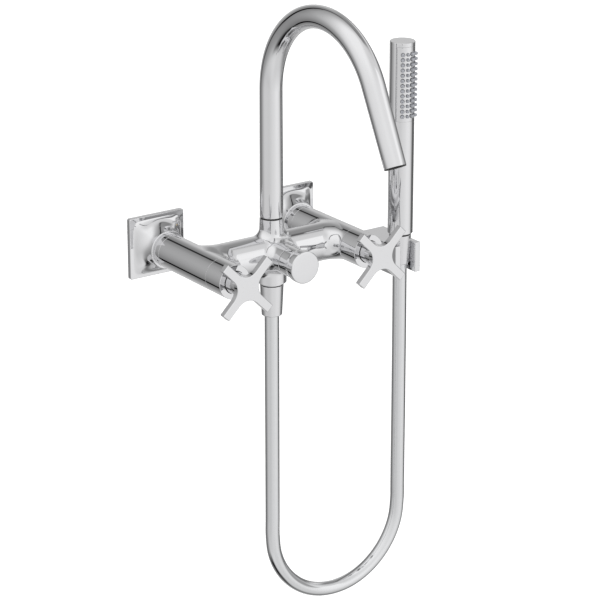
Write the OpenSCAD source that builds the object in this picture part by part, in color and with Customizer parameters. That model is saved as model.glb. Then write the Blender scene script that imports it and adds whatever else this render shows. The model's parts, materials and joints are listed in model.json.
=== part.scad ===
// Two-handle wall mounted bath mixer with a swivel gooseneck spout, a pull diverter,
// and a stick hand shower that hangs in a fork on the right and is fed by a hose.
// Millimetres. X runs right along the wall, Y = 0 is the finished wall and the mixer
// stands out towards -Y, Z is up. The origin is midway between the two wall inlets.

/* [Wall inlets] */
// Distance between the two inlet centres
inlet_spacing = 150; // [140:1:170]
// Outside radius of the male wall thread
wall_thread_r = 10.475; // [9.5:0.025:11]
// Length of the thread that goes into the wall
wall_thread_len = 14; // [8:1:20]
// Side of the square wall plate
plate_side = 59.5; // [52:0.5:80]
// Thickness of the plate's flat rim
plate_rim = 4.6; // [3:0.1:7]
// Corner radius of the plate
plate_corner = 1.5; // [0.5:0.5:4]
// Width of the flat rim before the flare starts
plate_border = 4; // [2:0.5:6]
// Wall of the plate's collar round the leg
collar_wall = 2.2; // [1.5:0.1:4]
// Distance of the collar's front from the wall
collar_out = 24.5; // [16:0.5:32]

/* [Mixer body] */
// Radius of each leg
leg_r = 16.3; // [15.6:0.1:17]
// Radius of the cross bar
bar_r = 18.2; // [17:0.1:20]
// Distance of the cross bar's axis from the wall
bar_out = 85; // [82:1:88]
// Distance of the body's front end of each leg from the wall
leg_out = 112; // [108:1:118]
// Distance of the body's back end of each leg from the wall
leg_back = 8; // [4:1:14]
// Bore of the leg over the wall union
union_bore_r = 12; // [11.5:0.1:12.6]
// Radius of the waterways
water_r = 8.5; // [7:0.5:9.5]
// Radius of the valve chamber in each leg
valve_bore_r = 11.5; // [10.5:0.1:12.4]
// Radius of the neck that carries the diverter
neck_r = 14; // [13:0.1:15]
// Distance of the neck's front from the wall
neck_out = 116.3; // [112:0.1:120]
// Radius at the top of the socket that carries the spout
socket_r = 10.8; // [10.4:0.1:12]
// Height of the socket's top above the bar's axis
socket_top = 34; // [28:1:42]
// Radius of the outlet boss under the bar
boss_r = 13.9; // [12.8:0.1:15]
// Depth of the outlet boss below the bar's axis
boss_drop = 28.4; // [24:0.2:34]

/* [Bonnets and handles] */
// Length of the ring in front of each leg
bonnet_len = 23.5; // [20:0.5:28]
// Side wall of the ring in front of each leg
bonnet_side = 2.4; // [2:0.05:3]
// Chamfer on the bonnet's front edge
bonnet_chamfer = 1.2; // [0.4:0.1:2.5]
// Radius of the handle's hub
hub_r = 10.4; // [9.4:0.1:11.2]
// Length of the handle's hub
hub_len = 15.5; // [13:0.5:19]
// Thickness of the cross handle's plate
cross_thick = 6.3; // [4:0.1:9]
// Reach of each arm from the handle's centre
arm_reach = 33.6; // [27:0.2:36]
// Width of each arm
arm_width = 8.3; // [6:0.1:10]
// Radius of the hollow between two arms
arm_fillet = 13.3; // [10:0.1:15]
// Radius of the valve spindle
spindle_r = 4; // [3.2:0.1:4.8]
// Turn of each handle from shut to open, in degrees
valve_turn = 90; // [45:5:120]

/* [Diverter] */
// Radius of the knob where it meets the neck
knob_neck_r = 14; // [13:0.1:15]
// Radius of the knob's front disc
knob_disc_r = 15.4; // [15.1:0.1:18]
// Length of the knob
knob_len = 23; // [18:0.5:28]
// Travel of the diverter knob
knob_pull = 10; // [6:0.5:12]
// Radius of the diverter stem
stem_r = 3; // [2.5:0.1:3.6]

/* [Spout] */
// Outer radius of the spout at its foot
spout_foot_r = 10.65; // [10:0.05:11.5]
// Outer radius of the spout round the bend
spout_bend_r = 10.2; // [9.8:0.05:11]
// Outer radius of the spout at its tip
spout_tip_r = 9.65; // [9.4:0.05:11]
// Wall of the spout tube
spout_wall = 1.3; // [1:0.1:1.8]
// Radius of the gooseneck's bend, on the centre line
bend_r = 82.5; // [60:0.5:95]
// Height of the bend's start above the bar's axis
bend_start = 157; // [130:1:190]
// Lean of the last straight from the vertical, in degrees
tip_lean = 26.4; // [15:0.2:36]
// Length of the last straight
tip_len = 72; // [40:1:100]
// Half of the spout's swivel, in degrees
spout_swing = 60; // [30:5:75]
// Radius of the spout's shank in the socket
shank_r = 8.6; // [8:0.1:8.8]
// Length of the spout's shank in the socket
shank_len = 22; // [16:1:26]

/* [Hose and its nuts] */
// Outer radius of the hose
hose_r = 6.6; // [5.5:0.1:7]
// Radius of the outlet's hose thread
thread_r = 9.6; // [9:0.1:9.8]
// Radius of the hand shower's thread
spigot_r = 9.2; // [8.8:0.1:9.3]
// Top radius of the nut under the mixer
nut_top_r = 11.2; // [10.8:0.1:13]
// Bottom radius of the nut under the mixer
nut_end_r = 9.7; // [9:0.1:11]
// Length of the nut under the mixer
nut_len = 30.2; // [24:0.2:36]
// Top radius of the conical nut on the hand shower
cone_top_r = 10.8; // [10.6:0.1:12]
// Bottom radius of the conical nut on the hand shower
cone_end_r = 8.6; // [8:0.1:9.5]
// Length of the conical nut
cone_len = 29.6; // [24:0.2:36]

/* [Hand shower] */
// Distance of the hand shower's axis from the mixer's centre line
shower_x = 150; // [145:1:160]
// Radius of the hand shower
shower_r = 11.85; // [11.4:0.05:14]
// Height of the hand shower's top above the bar's axis
shower_top = 179.5; // [165:0.5:215]
// Height of the hand shower's foot above the bar's axis
shower_foot = -8.5; // [-8.5:0.5:-6]
// Wall of the hand shower's tube
shower_wall = 1.6; // [1.2:0.1:2.2]
// Thickness of the hand shower's end cap
cap_thick = 2; // [1.5:0.1:4]
// Length of the spray strip below the cap
strip_len = 73.5; // [70:0.5:90]
// Angle of the spray strip round the tube, in degrees
strip_angle = 122; // [100:2:140]
// Depth of the top row of nozzles below the hand shower's top
nozzle_inset = 8.5; // [7:0.5:12]
// Rows of spray nozzles
nozzle_rows = 13; // [6:1:14]
// Height between two rows of nozzles
nozzle_pitch = 5; // [4:0.1:5.5]
// Angle between two columns of nozzles, in degrees
nozzle_step = 23; // [18:1:28]
// How far a nozzle stands out of the strip
nozzle_out = 2.9; // [1:0.1:4]
// Radius of a nozzle at its root
nozzle_r = 1.7; // [1.2:0.1:1.8]
// Lift of the hand shower that clears its fork
shower_lift = 36; // [34:1:60]

/* [Shower holder] */
// Width of the fork block
fork_w = 29.6; // [26:0.2:36]
// Height of the fork block
fork_h = 30; // [24:1:36]
// Depth of the fork block, from its front to its back
fork_d = 59.6; // [45:0.2:64]
// Distance of the fork's mouth in front of the hand shower's axis
fork_front = 13.2; // [12:0.2:18]
// How far each lip of the fork's mouth closes over its seat
mouth_lip = 0.2; // [0.1:0.1:1.5]
// Depth of the fork block's top below the bar's axis
fork_drop = 17.9; // [17:0.1:19]
// Radius of the holder's arm
holder_arm_r = 7; // [5:0.5:9]

/* [Fits] */
// Radial clearance of a turning or sliding shaft in its hole
run_gap = 0.05; // [0.02:0.01:0.1]
// Space left between pieces that move past each other
move_gap = 0.3; // [0.2:0.05:0.4]
// Space left between fixed pieces that slip together
slip_gap = 0.1; // [0.05:0.05:0.2]

/* [Hidden] */

$fn = 64;
chrome = [0.82, 0.83, 0.84];
brass = [0.80, 0.66, 0.36];
rubber = [0.12, 0.12, 0.13];
plastic = [0.93, 0.93, 0.91];

half_spacing = inlet_spacing / 2;
overlap = 0.01;
joint_step = 0.02;

// Along each leg, as distances out of the wall
union_flange = 4;
collar_r = leg_r + collar_wall;
union_flange_r = 13.4;
union_end = 44;
union_water_r = 6.5;
union_ring_out = [23.5, 35];
union_groove = 1.6;
filter_thick = 1.2;
plate_ring_wire = 0.6;
leg_screw_out = 29.5;
leg_screw_r = 2;
chamber_back = 62;
cartridge_back = 65;
cartridge_flange = 5;
cartridge_flange_r = leg_r - bonnet_side - slip_gap;
port_r = 6;
bonnet_wall = 1.8;
bonnet_front = leg_out + bonnet_len;
spindle_back = 73;
spindle_head_r = 7.5;
spindle_head_len = 8;
hub_back = bonnet_front + move_gap;
cross_back = hub_back + hub_len;
hub_bore_r = hub_r - 2.4;
insert_len = hub_len - 3.5;
spindle_tip = hub_back + hub_len - 2.5;
handle_screw_out = hub_back + hub_len * 0.45;
handle_screw_r = 1.6;
edge_round = 0.8;

// The spout's socket and the spout
socket_base = bar_r + 6;
socket_base_r = socket_r + 0.5;
flare_r = 6;
spout_bore_r = shank_r + run_gap;
seam_gap = 0.9;
spout_foot = socket_top + seam_gap;
shank_foot = spout_foot - shank_len;
shank_water_r = shank_r - 2.4;
spout_seal_rise = [4, 8.5];
shank_groove = 1.2;
screw_rise = 15.5;
spout_screw_r = 1.8;
bend_end = [0, -bar_out - bend_r * (1 + cos(tip_lean)), bend_start + bend_r * sin(tip_lean)];
aerator_len = 11;
aerator_r = spout_tip_r - spout_wall - 0.05;

// The diverter, as distances out of the wall
diverter_depth = 12;
diverter_back = bar_out - diverter_depth;
bush_r = 10;
bush_len = neck_out - bar_out - 7;
bush_back = neck_out - bush_len;
bush_flange = 2;
bush_flange_r = bush_r + 1.6;
disc_r = 8;
disc_len = 6;
disc_out = diverter_back + 1;
spring_r = 4.6;
spring_wire = 0.6;
spring_len = bush_back - disc_out - disc_len - move_gap;
spring_turns = 5;
knob_back = neck_out + 0.6;
knob_wall = 1.8;
knob_boss_r = 6.5;
knob_edge = 1;
stem_end = knob_back + knob_len - 6;

// Under the bar
nipple_collar = 2;
nipple_collar_r = 11.3;
nipple_in = 12;
nipple_thread = 10;
nipple_bore_r = 6;
check_valve_len = 9;
nut_gap = 0.8;
nut_top = -(boss_drop + nipple_collar + nut_gap);
nut_foot = nut_top - nut_len;
nipple_foot = -(boss_drop + nipple_collar + nipple_thread);
washer_thick = 2;
tail_thick = 3;
tail_top = nipple_foot - washer_thick;
hose_start = tail_top - tail_thick;
tail_bore_r = 4;

// Under the hand shower
cone_top = shower_foot - 1.9;
cone_foot = cone_top - cone_len;
spigot_thread = 7;
spigot_foot = shower_foot - spigot_thread;
spigot_bore_r = 5.5;
spigot_in = 10;
end_tail_r = spigot_r - 0.6;
end_washer_top = spigot_foot - move_gap;
end_tail_top = end_washer_top - washer_thick;
end_tail_thick = 2.5;
cone_shoulder = end_tail_top - end_tail_thick - move_gap;
cone_hole_r = hose_r + 2 * move_gap;
hose_end = -34;

// Up the hand shower
strip_thick = 1.6;
strip_top = shower_top - cap_thick;
strip_foot = strip_top - strip_len;
nozzle_top = shower_top - nozzle_inset;
nozzle_columns = [-1.5, -0.5, 0.5, 1.5];
nozzle_tip_r = nozzle_r * 0.72;
mat_thick = 0.9;

// The fork and its arm, right of the right leg
fork_top = -fork_drop;
fork_foot = fork_top - fork_h;
fork_mouth_out = bar_out + fork_front;
fork_back_out = fork_mouth_out - fork_d;
seat_r = cone_end_r + move_gap;
seat_top_r = seat_r + (cone_top_r - cone_end_r) * (fork_top - cone_foot) / cone_len;
mouth_w = 2 * (seat_r - mouth_lip);
arm_out = fork_back_out + 24;
arm_foot_r = holder_arm_r + 2.5;
arm_flange = 3;
arm_lead = 3;
arm_from = [half_spacing + leg_r + arm_lead, -9];
arm_to = [shower_x - fork_w / 2 - arm_flange, fork_top - fork_h / 2];
arm_turn = 2 * atan((arm_from[1] - arm_to[1]) / (arm_to[0] - arm_from[0]));
arm_bend_r = (arm_to[0] - arm_from[0]) / (2 * sin(arm_turn));
holder_screw_r = 2.5;
holder_screw_in = 9;

// The hose hangs in one plane. Each stop is a distance right, as a share of the hand shower's, and a height
hose_stops = concat(
    [[0, hose_start], [0, -90], [0, -140], [0, -190], [0, -240], [0, -270], [0, -290]],
    [[2.5, -309.5], [10, -327.5], [22, -343], [37.5, -355], [55.5, -362.5], [75, -365]],
    [[94.5, -362.5], [112.5, -355], [128, -343], [140, -327.5], [147.5, -309.5], [150, -290]],
    [[150, -270], [150, -240], [150, -190], [150, -140], [150, -90], [150, hose_end]]
);
hose_route = [for (p = hose_stops) [p[0] * shower_x / 150, p[1]]];
hose_steps = 2;
hose_sides = 12;

// A smooth line through the stops
function before(p, i) = i > 0 ? p[i - 1] : 2 * p[0] - p[1];
function after(p, i) = i < len(p) - 1 ? p[i + 1] : 2 * p[i] - p[i - 1];
function blend(a, b, c, d, t) =
    0.5 * (2 * b + (c - a) * t + (2 * a - 5 * b + 4 * c - d) * t * t + (3 * b - a - 3 * c + d) * t * t * t);
function smooth(p, n) = [
    for (i = [0:len(p) - 2], k = [0:n - 1])
        blend(before(p, i), p[i], p[i + 1], after(p, i + 1), k / n),
    p[len(p) - 1]
];
function heading(p, i) = after(p, i) - before(p, i);
function unit(v) = v / norm(v);

// A round section square to a line that lies in the plane facing front
function section(c, dir, r, n) = [
    for (j = [0:n - 1])
        let (a = 360 * j / n, across = r * cos(a))
        [c[0] + dir[1] * across, r * sin(a), c[1] - dir[0] * across]
];

// Closed skin over rings of points
module skin(rings) {
    m = len(rings[0]);
    n = len(rings);
    sides = [
        for (k = [0:n - 2], j = [0:m - 1])
            [k * m + j, k * m + (j + 1) % m, (k + 1) * m + (j + 1) % m, (k + 1) * m + j]
    ];
    first = [for (j = [m - 1:-1:0]) j];
    last = [for (j = [0:m - 1]) (n - 1) * m + j];
    polyhedron([for (q = rings) each q], concat([first], sides, [last]), convexity = 8);
}

// Children stand with their +Z out of the wall, from a point on the axis
module out_from(x, out) {
    translate([x, -out, 0])
        rotate([90, 0, 0])
            children();
}

// Children stand at the end of the spout's bend, with their +Z down the last straight
module down_tip() {
    translate(bend_end)
        rotate([180 - tip_lean, 0, 0])
            children();
}

module tube(r, bore, height) {
    difference() {
        cylinder(r = r, h = height);
        translate([0, 0, -overlap])
            cylinder(r = bore, h = height + 2 * overlap);
    }
}

// A cut for a sealing ring round a shaft
module groove(r, depth) {
    translate([0, 0, -depth / 2])
        tube(r + 2, r - depth, depth);
}

// The rubber ring that fills such a cut
module seal(r, depth) {
    rotate_extrude()
        translate([r - depth / 2, 0])
            circle(r = depth * 0.48, $fn = 24);
}

// A plate outline with round corners
module round_box(w, d, r) {
    square([w - 2 * r, d], center = true);
    square([w, d - 2 * r], center = true);
    for (x = [-1, 1], y = [-1, 1])
        translate([x * (w / 2 - r), y * (d / 2 - r)])
            circle(r = r, $fn = 32);
}

// Mixer body: two legs, a cross bar, its neck, socket and outlet boss, with the waterways bored out
module mixer_body() {
    color(chrome)
        difference() {
            union() {
                for (side = [-1, 1])
                    body_leg(side);
                translate([-half_spacing + leg_r, -bar_out, 0])
                    rotate([0, 90, 0])
                        cylinder(r = bar_r, h = 2 * (half_spacing - leg_r));
                out_from(0, bar_out)
                    cylinder(r = neck_r, h = neck_out - bar_out);
                translate([0, -bar_out, 0])
                    socket_outside();
                translate([0, -bar_out, -boss_drop])
                    cylinder(r = boss_r, h = boss_drop);
            }
            for (side = [-1, 1])
                leg_bores(side);
            translate([-half_spacing, -bar_out, 0])
                rotate([0, 90, 0])
                    cylinder(r = water_r, h = inlet_spacing);
            out_from(0, diverter_back)
                cylinder(r = bush_r + slip_gap, h = neck_out - diverter_back + overlap);
            out_from(0, neck_out - bush_flange)
                cylinder(r = bush_flange_r + slip_gap, h = bush_flange + overlap);
            translate([0, -bar_out, 0]) {
                cylinder(r = shank_water_r, h = socket_top);
                translate([0, 0, shank_foot - move_gap])
                    cylinder(r = spout_bore_r, h = socket_top);
                translate([0, 0, shank_foot + screw_rise])
                    rotate([-90, 0, 0])
                        cylinder(r = spout_screw_r + slip_gap, h = 2 * socket_r);
                translate([0, 0, -boss_drop - overlap])
                    cylinder(r = thread_r + slip_gap, h = nipple_in + overlap);
                translate([0, 0, -boss_drop])
                    cylinder(r = nipple_bore_r, h = boss_drop);
            }
        }
}

// One leg, and the cone that takes the bar's radius down inside it
module body_leg(side) {
    out_from(side * half_spacing, leg_back)
        cylinder(r = leg_r, h = leg_out - leg_back);
    translate([side * (half_spacing - leg_r), -bar_out, 0])
        rotate([0, side * 90, 0])
            cylinder(r1 = bar_r, r2 = leg_r - 0.4, h = leg_r);
}

// The socket tapers, and flares out where it meets the bar's top
module socket_outside() {
    cylinder(r1 = socket_base_r + 1.2, r2 = socket_base_r, h = socket_base);
    translate([0, 0, socket_base])
        cylinder(r1 = socket_base_r, r2 = socket_r, h = socket_top - socket_base);
    translate([0, 0, bar_r - 1])
        rotate_extrude()
            difference() {
                square([socket_base_r + flare_r, flare_r + 1]);
                translate([socket_base_r + flare_r, flare_r + 1])
                    circle(r = flare_r);
            }
}

// Union bore, waterway, valve chamber and lock screw hole of one leg
module leg_bores(side) {
    out_from(side * half_spacing, leg_back - overlap)
        cylinder(r = union_bore_r + slip_gap, h = union_end - leg_back + overlap);
    out_from(side * half_spacing, union_end - overlap)
        cylinder(r = port_r, h = chamber_back - union_end + 2 * overlap);
    out_from(side * half_spacing, chamber_back)
        cylinder(r = valve_bore_r, h = leg_out - chamber_back + overlap);
    translate([side * half_spacing, -leg_screw_out, -leg_r - overlap])
        cylinder(r = leg_screw_r + slip_gap, h = leg_r);
}

// Wall union: a thread into the wall, a flange, and a spigot that the leg slides over
module wall_union(side) {
    color(brass)
        out_from(side * half_spacing, 0)
            difference() {
                union() {
                    translate([0, 0, -wall_thread_len])
                        cylinder(r = wall_thread_r, h = wall_thread_len);
                    cylinder(r = union_flange_r, h = union_flange);
                    cylinder(r = union_bore_r, h = union_end - filter_thick);
                }
                translate([0, 0, -wall_thread_len - overlap])
                    cylinder(r = union_water_r, h = union_end + wall_thread_len);
                for (d = union_ring_out)
                    translate([0, 0, d])
                        groove(union_bore_r, union_groove);
                translate([0, 0, leg_screw_out])
                    rotate([90, 0, 0])
                        translate([0, 0, union_water_r + 2])
                            cylinder(r = leg_screw_r + slip_gap, h = union_bore_r);
            }
}

// Two rubber rings in the union's grooves
module union_seals(side) {
    color(rubber)
        for (d = union_ring_out)
            out_from(side * half_spacing, d)
                seal(union_bore_r, union_groove);
}

// Strainer disc in front of the union's end
module inlet_filter(side) {
    color(plastic)
        out_from(side * half_spacing, union_end - filter_thick)
            difference() {
                cylinder(r = union_bore_r, h = filter_thick - overlap);
                for (ix = [-2:2], iy = [-2:2])
                    if (abs(ix) + abs(iy) < 4)
                        translate([ix * 2.2, iy * 2.2, -overlap])
                            cylinder(r = 0.8, h = filter_thick + overlap, $fn = 16);
            }
}

// Wall plate: a flat square rim, a hollow flare that turns round, and a bore over the leg
module wall_plate(side) {
    color(chrome)
        out_from(side * half_spacing, 0)
            difference() {
                union() {
                    linear_extrude(plate_rim)
                        round_box(plate_side, plate_side, plate_corner);
                    plate_flare();
                }
                translate([0, 0, -overlap])
                    cylinder(r1 = collar_r + 5, r2 = leg_r + 1.3, h = collar_out * 0.7);
                translate([0, 0, -overlap])
                    cylinder(r = leg_r + move_gap, h = collar_out + 2 * overlap);
                translate([0, 0, collar_out - 5])
                    cylinder(r = leg_r + 1.4, h = 2 * plate_ring_wire + 0.2);
            }
}

// Sections from a square to a circle, on a hollow curve
flare_levels = 9;
flare_points = 48;
flare_half = plate_side / 2 - plate_border;
function flare_rise(k) = plate_rim - 0.4 + (collar_out - plate_rim + 0.4) * pow(k / flare_levels, 1.3);
function flare_share(k) = pow(1 - pow(k / flare_levels, 1.3), 2.4);
flare_form = 7;
function foot_size(a) = pow(abs(cos(a)), flare_form) + pow(abs(sin(a)), flare_form);
function foot_reach(a) = flare_half / pow(foot_size(a), 1 / flare_form);
function flare_reach(a, k) = collar_r + (foot_reach(a) - collar_r) * flare_share(k);
module plate_flare() {
    rings = [
        for (k = [0:flare_levels])
            [
                for (i = [flare_points - 1:-1:0])
                    let (a = 360 * i / flare_points, reach = flare_reach(a, k))
                    [reach * cos(a), reach * sin(a), flare_rise(k)]
            ]
    ];
    skin(rings);
}

// Rubber ring in the collar that grips the leg
module plate_ring(side) {
    color(rubber)
        out_from(side * half_spacing, collar_out - 4.9 + plate_ring_wire)
            rotate_extrude()
                translate([leg_r + 0.1 + plate_ring_wire, 0])
                    circle(r = plate_ring_wire, $fn = 24);
}

// Grub screws under the legs that lock them on the wall unions
module leg_screws() {
    color(brass)
        for (side = [-1, 1])
            translate([side * half_spacing, -leg_screw_out, -leg_r + 0.6])
                difference() {
                    cylinder(r = leg_screw_r, h = leg_r - union_water_r - 2.8);
                    translate([0, 0, -overlap])
                        cylinder(r = leg_screw_r * 0.5, h = 1.5, $fn = 6);
                }
}

// Ceramic valve cartridge: back port, side port into the bar, and a flange on the leg's end
module cartridge(side) {
    color(brass)
        difference() {
            out_from(side * half_spacing, cartridge_back) {
                cylinder(r = valve_bore_r - slip_gap, h = leg_out - cartridge_back);
                translate([0, 0, leg_out - cartridge_back])
                    cylinder(r = cartridge_flange_r, h = cartridge_flange);
                translate([0, 0, leg_out - cartridge_back + cartridge_flange])
                    cylinder(r = spindle_head_r + 1.4, h = bonnet_len - cartridge_flange - bonnet_wall - 1);
            }
            out_from(side * half_spacing, cartridge_back - overlap)
                cylinder(r = port_r, h = spindle_back - cartridge_back + 2);
            out_from(side * half_spacing, spindle_back)
                cylinder(r = spindle_head_r + run_gap, h = bar_out + port_r + 2 - spindle_back);
            out_from(side * half_spacing, spindle_back)
                cylinder(r = spindle_r + run_gap, h = bonnet_front);
            translate([side * (half_spacing - leg_r), -bar_out, 0])
                rotate([0, side * 90, 0])
                    cylinder(r = port_r, h = leg_r);
        }
}

// Rubber seal between the cartridge and the leg's inner shoulder
module cartridge_seal(side) {
    color(rubber)
        out_from(side * half_spacing, chamber_back)
            tube(port_r + 2.8, port_r, cartridge_back - chamber_back);
}

// Valve spindle: the disc at its back, and the stem that the handle turns
module spindle(side) {
    color(brass)
        out_from(side * half_spacing, spindle_back + 1) {
            difference() {
                cylinder(r = spindle_head_r, h = spindle_head_len);
                translate([0, 4.4, -overlap])
                    cylinder(r = 2, h = spindle_head_len * 0.6);
            }
            translate([0, 0, spindle_head_len])
                cylinder(r = spindle_r, h = spindle_tip - spindle_back - 1 - spindle_head_len);
        }
}

// Bonnet: a ring that carries on the leg and closes round the spindle
module bonnet(side) {
    color(chrome)
        out_from(side * half_spacing, leg_out)
            difference() {
                union() {
                    cylinder(r = leg_r, h = bonnet_len - bonnet_chamfer);
                    translate([0, 0, bonnet_len - bonnet_chamfer])
                        cylinder(r1 = leg_r, r2 = leg_r - bonnet_chamfer, h = bonnet_chamfer);
                }
                translate([0, 0, -overlap])
                    cylinder(r = cartridge_flange_r + slip_gap, h = bonnet_len - bonnet_wall);
                translate([0, 0, -overlap])
                    cylinder(r = spindle_r + 1.2, h = bonnet_len + 1);
            }
}

// Outline of the cross: two bars with a round hollow in each corner
module cross_outline() {
    half = arm_width / 2;
    far = half + arm_fillet;
    round_box(2 * arm_reach, arm_width, edge_round);
    round_box(arm_width, 2 * arm_reach, edge_round);
    difference() {
        square(2 * far, center = true);
        for (x = [-1, 1], y = [-1, 1])
            translate([x * far, y * far])
                circle(r = arm_fillet, $fn = 96);
    }
}

// Cross handle: a flat plate and its hub in one casting
module handle(side) {
    color(chrome)
        difference() {
            union() {
                out_from(side * half_spacing, hub_back)
                    cylinder(r = hub_r, h = hub_len);
                out_from(side * half_spacing, cross_back)
                    linear_extrude(cross_thick)
                        rotate(45)
                            cross_outline();
            }
            out_from(side * half_spacing, hub_back - overlap)
                cylinder(r = hub_bore_r, h = hub_len - 2);
            translate([side * half_spacing, -handle_screw_out, -hub_r - overlap])
                cylinder(r = handle_screw_r + slip_gap, h = hub_r);
        }
}

// Plastic insert that fits the spindle's end in the hub
module handle_insert(side) {
    color(plastic)
        difference() {
            out_from(side * half_spacing, hub_back + 0.5)
                tube(hub_bore_r - overlap, spindle_r + overlap, insert_len);
            translate([side * half_spacing, -handle_screw_out, -hub_bore_r])
                cylinder(r = handle_screw_r + slip_gap, h = hub_bore_r);
        }
}

// Grub screw up through the hub
module handle_screw(side) {
    color(brass)
        translate([side * half_spacing, -handle_screw_out, -hub_r + 0.5])
            difference() {
                cylinder(r = handle_screw_r, h = hub_r - spindle_r - 0.6);
                translate([0, 0, -overlap])
                    cylinder(r = handle_screw_r * 0.5, h = 1.2, $fn = 6);
            }
}

// The spout's run from a given height, with its radius cut by a given amount. Its straight end
// starts a hair inside the bend and a hair proud of it, so that the two are one solid.
module spout_run(from, less) {
    translate([0, -bar_out, from])
        cylinder(r1 = spout_foot_r - less, r2 = spout_bend_r - less, h = bend_start - from);
    translate([0, -bar_out - bend_r, bend_start])
        rotate([90, 0, 90])
            rotate_extrude(angle = 180 - tip_lean, $fn = 128)
                translate([bend_r, 0])
                    circle(r = spout_bend_r - less);
    down_tip()
        translate([0, 0, -joint_step])
            cylinder(
                r1 = spout_bend_r - less + joint_step,
                r2 = spout_tip_r - less,
                h = tip_len + joint_step + (less > 0 ? overlap : 0)
            );
}

// Spout: gooseneck tube with a grooved shank that turns in the socket
module spout_tube() {
    color(chrome)
        difference() {
            union() {
                spout_run(spout_foot, 0);
                translate([0, -bar_out, shank_foot])
                    cylinder(r = shank_r, h = shank_len);
            }
            spout_run(spout_foot + 4, spout_wall);
            translate([0, -bar_out, shank_foot - overlap])
                cylinder(r = shank_water_r, h = shank_len + 5);
            for (h = spout_seal_rise)
                translate([0, -bar_out, shank_foot + h])
                    groove(shank_r, shank_groove);
            translate([0, -bar_out, shank_foot + screw_rise - spout_screw_r - move_gap])
                tube(shank_r + 2, shank_r - shank_groove, 2 * (spout_screw_r + move_gap));
        }
}

// Rubber rings on the spout's shank
module spout_seals() {
    color(rubber)
        for (h = spout_seal_rise)
            translate([0, -bar_out, shank_foot + h])
                seal(shank_r, shank_groove);
}

// Glide washer under the spout's foot
module spout_washer() {
    color(plastic)
        translate([0, -bar_out, socket_top + move_gap])
            tube(spout_foot_r - 0.7, shank_r + overlap, seam_gap - move_gap);
}

// Grub screw at the back of the socket that keeps the spout in
module spout_screw() {
    color(brass)
        translate([0, -bar_out + shank_r - shank_groove + move_gap, shank_foot + screw_rise])
            rotate([-90, 0, 0])
                difference() {
                    cylinder(r = spout_screw_r, h = socket_r - shank_r + shank_groove - move_gap - 0.2);
                    translate([0, 0, 1.4])
                        cylinder(r = spout_screw_r * 0.5, h = socket_r, $fn = 6);
                }
}

// Aerator in the spout's tip, with its stream holes
module aerator() {
    color(plastic)
        down_tip()
            translate([0, 0, tip_len - aerator_len - 0.6])
                difference() {
                    cylinder(r = aerator_r, h = aerator_len);
                    for (ix = [-2:2], iy = [-2:2])
                        if (abs(ix) + abs(iy) < 4)
                            translate([ix * 2.4, iy * 2.4, -overlap])
                                cylinder(r = 0.8, h = aerator_len + 2 * overlap, $fn = 16);
                }
}

// Diverter knob: a plain barrel that flares to a disc, hollow round a boss
module diverter_knob() {
    color(chrome)
        out_from(0, knob_back)
            difference() {
                union() {
                    cylinder(r = knob_neck_r, h = knob_len * 0.48);
                    translate([0, 0, knob_len * 0.48])
                        cylinder(r1 = knob_neck_r, r2 = knob_disc_r, h = knob_len * 0.22);
                    translate([0, 0, knob_len * 0.7])
                        cylinder(r = knob_disc_r, h = knob_len * 0.3 - knob_edge);
                    translate([0, 0, knob_len - knob_edge])
                        cylinder(r1 = knob_disc_r, r2 = knob_disc_r - knob_edge, h = knob_edge);
                }
                translate([0, 0, -overlap])
                    tube(knob_neck_r - knob_wall, knob_boss_r, knob_len - 6);
                translate([0, 0, -2 * overlap])
                    cylinder(r = stem_r + overlap, h = stem_end - knob_back + 3 * overlap);
            }
}

// Diverter stem, from the knob to the disc
module diverter_stem() {
    color(brass)
        out_from(0, disc_out + disc_len)
            cylinder(r = stem_r, h = stem_end - disc_out - disc_len);
}

// Return spring, between the disc and the bush
module diverter_spring() {
    steps = spring_turns * 14;
    lean = atan(spring_len / spring_turns / (2 * PI * spring_r));
    rings = [
        for (k = [0:steps])
            let (turn = 360 * spring_turns * k / steps)
            let (rise = spring_wire + (spring_len - 2 * spring_wire) * k / steps)
            [
                for (j = [0:7])
                    let (a = 45 * j, reach = spring_r + spring_wire * cos(a), slip = spring_wire * sin(a))
                    [
                        reach * cos(turn) + slip * sin(lean) * sin(turn),
                        reach * sin(turn) - slip * sin(lean) * cos(turn),
                        rise + slip * cos(lean)
                    ]
            ]
    ];
    color(brass)
        out_from(0, disc_out + disc_len)
            skin(rings);
}

// Diverter disc that shuts off the spout or the hose
module diverter_disc() {
    color(rubber)
        out_from(0, disc_out)
            cylinder(r = disc_r, h = disc_len);
}

// Bush in the neck that guides the stem and takes the spring
module diverter_bush() {
    color(brass)
        out_from(0, bush_back)
            difference() {
                union() {
                    cylinder(r = bush_r, h = bush_len);
                    translate([0, 0, bush_len - bush_flange])
                        cylinder(r = bush_flange_r, h = bush_flange);
                }
                translate([0, 0, -overlap])
                    cylinder(r = stem_r + run_gap, h = bush_len + 2 * overlap);
                translate([0, 0, -overlap])
                    cylinder(r = spring_r + spring_wire + 1, h = knob_pull + 1.5);
                translate([0, 0, bush_len * 0.6])
                    groove(bush_r, shank_groove);
            }
}

// Rubber ring on the bush
module diverter_seal() {
    color(rubber)
        out_from(0, bush_back + bush_len * 0.6)
            seal(bush_r, shank_groove);
}

// Nipple screwed up into the outlet boss, with its collar and hose thread
module hose_nipple() {
    color(chrome)
        translate([0, -bar_out, nipple_foot])
            difference() {
                union() {
                    cylinder(r = thread_r, h = nipple_thread + nipple_collar + nipple_in);
                    translate([0, 0, nipple_thread])
                        cylinder(r = nipple_collar_r, h = nipple_collar);
                }
                translate([0, 0, -overlap])
                    cylinder(r = nipple_bore_r, h = nipple_thread + nipple_collar + nipple_in + 2 * overlap);
            }
}

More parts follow.
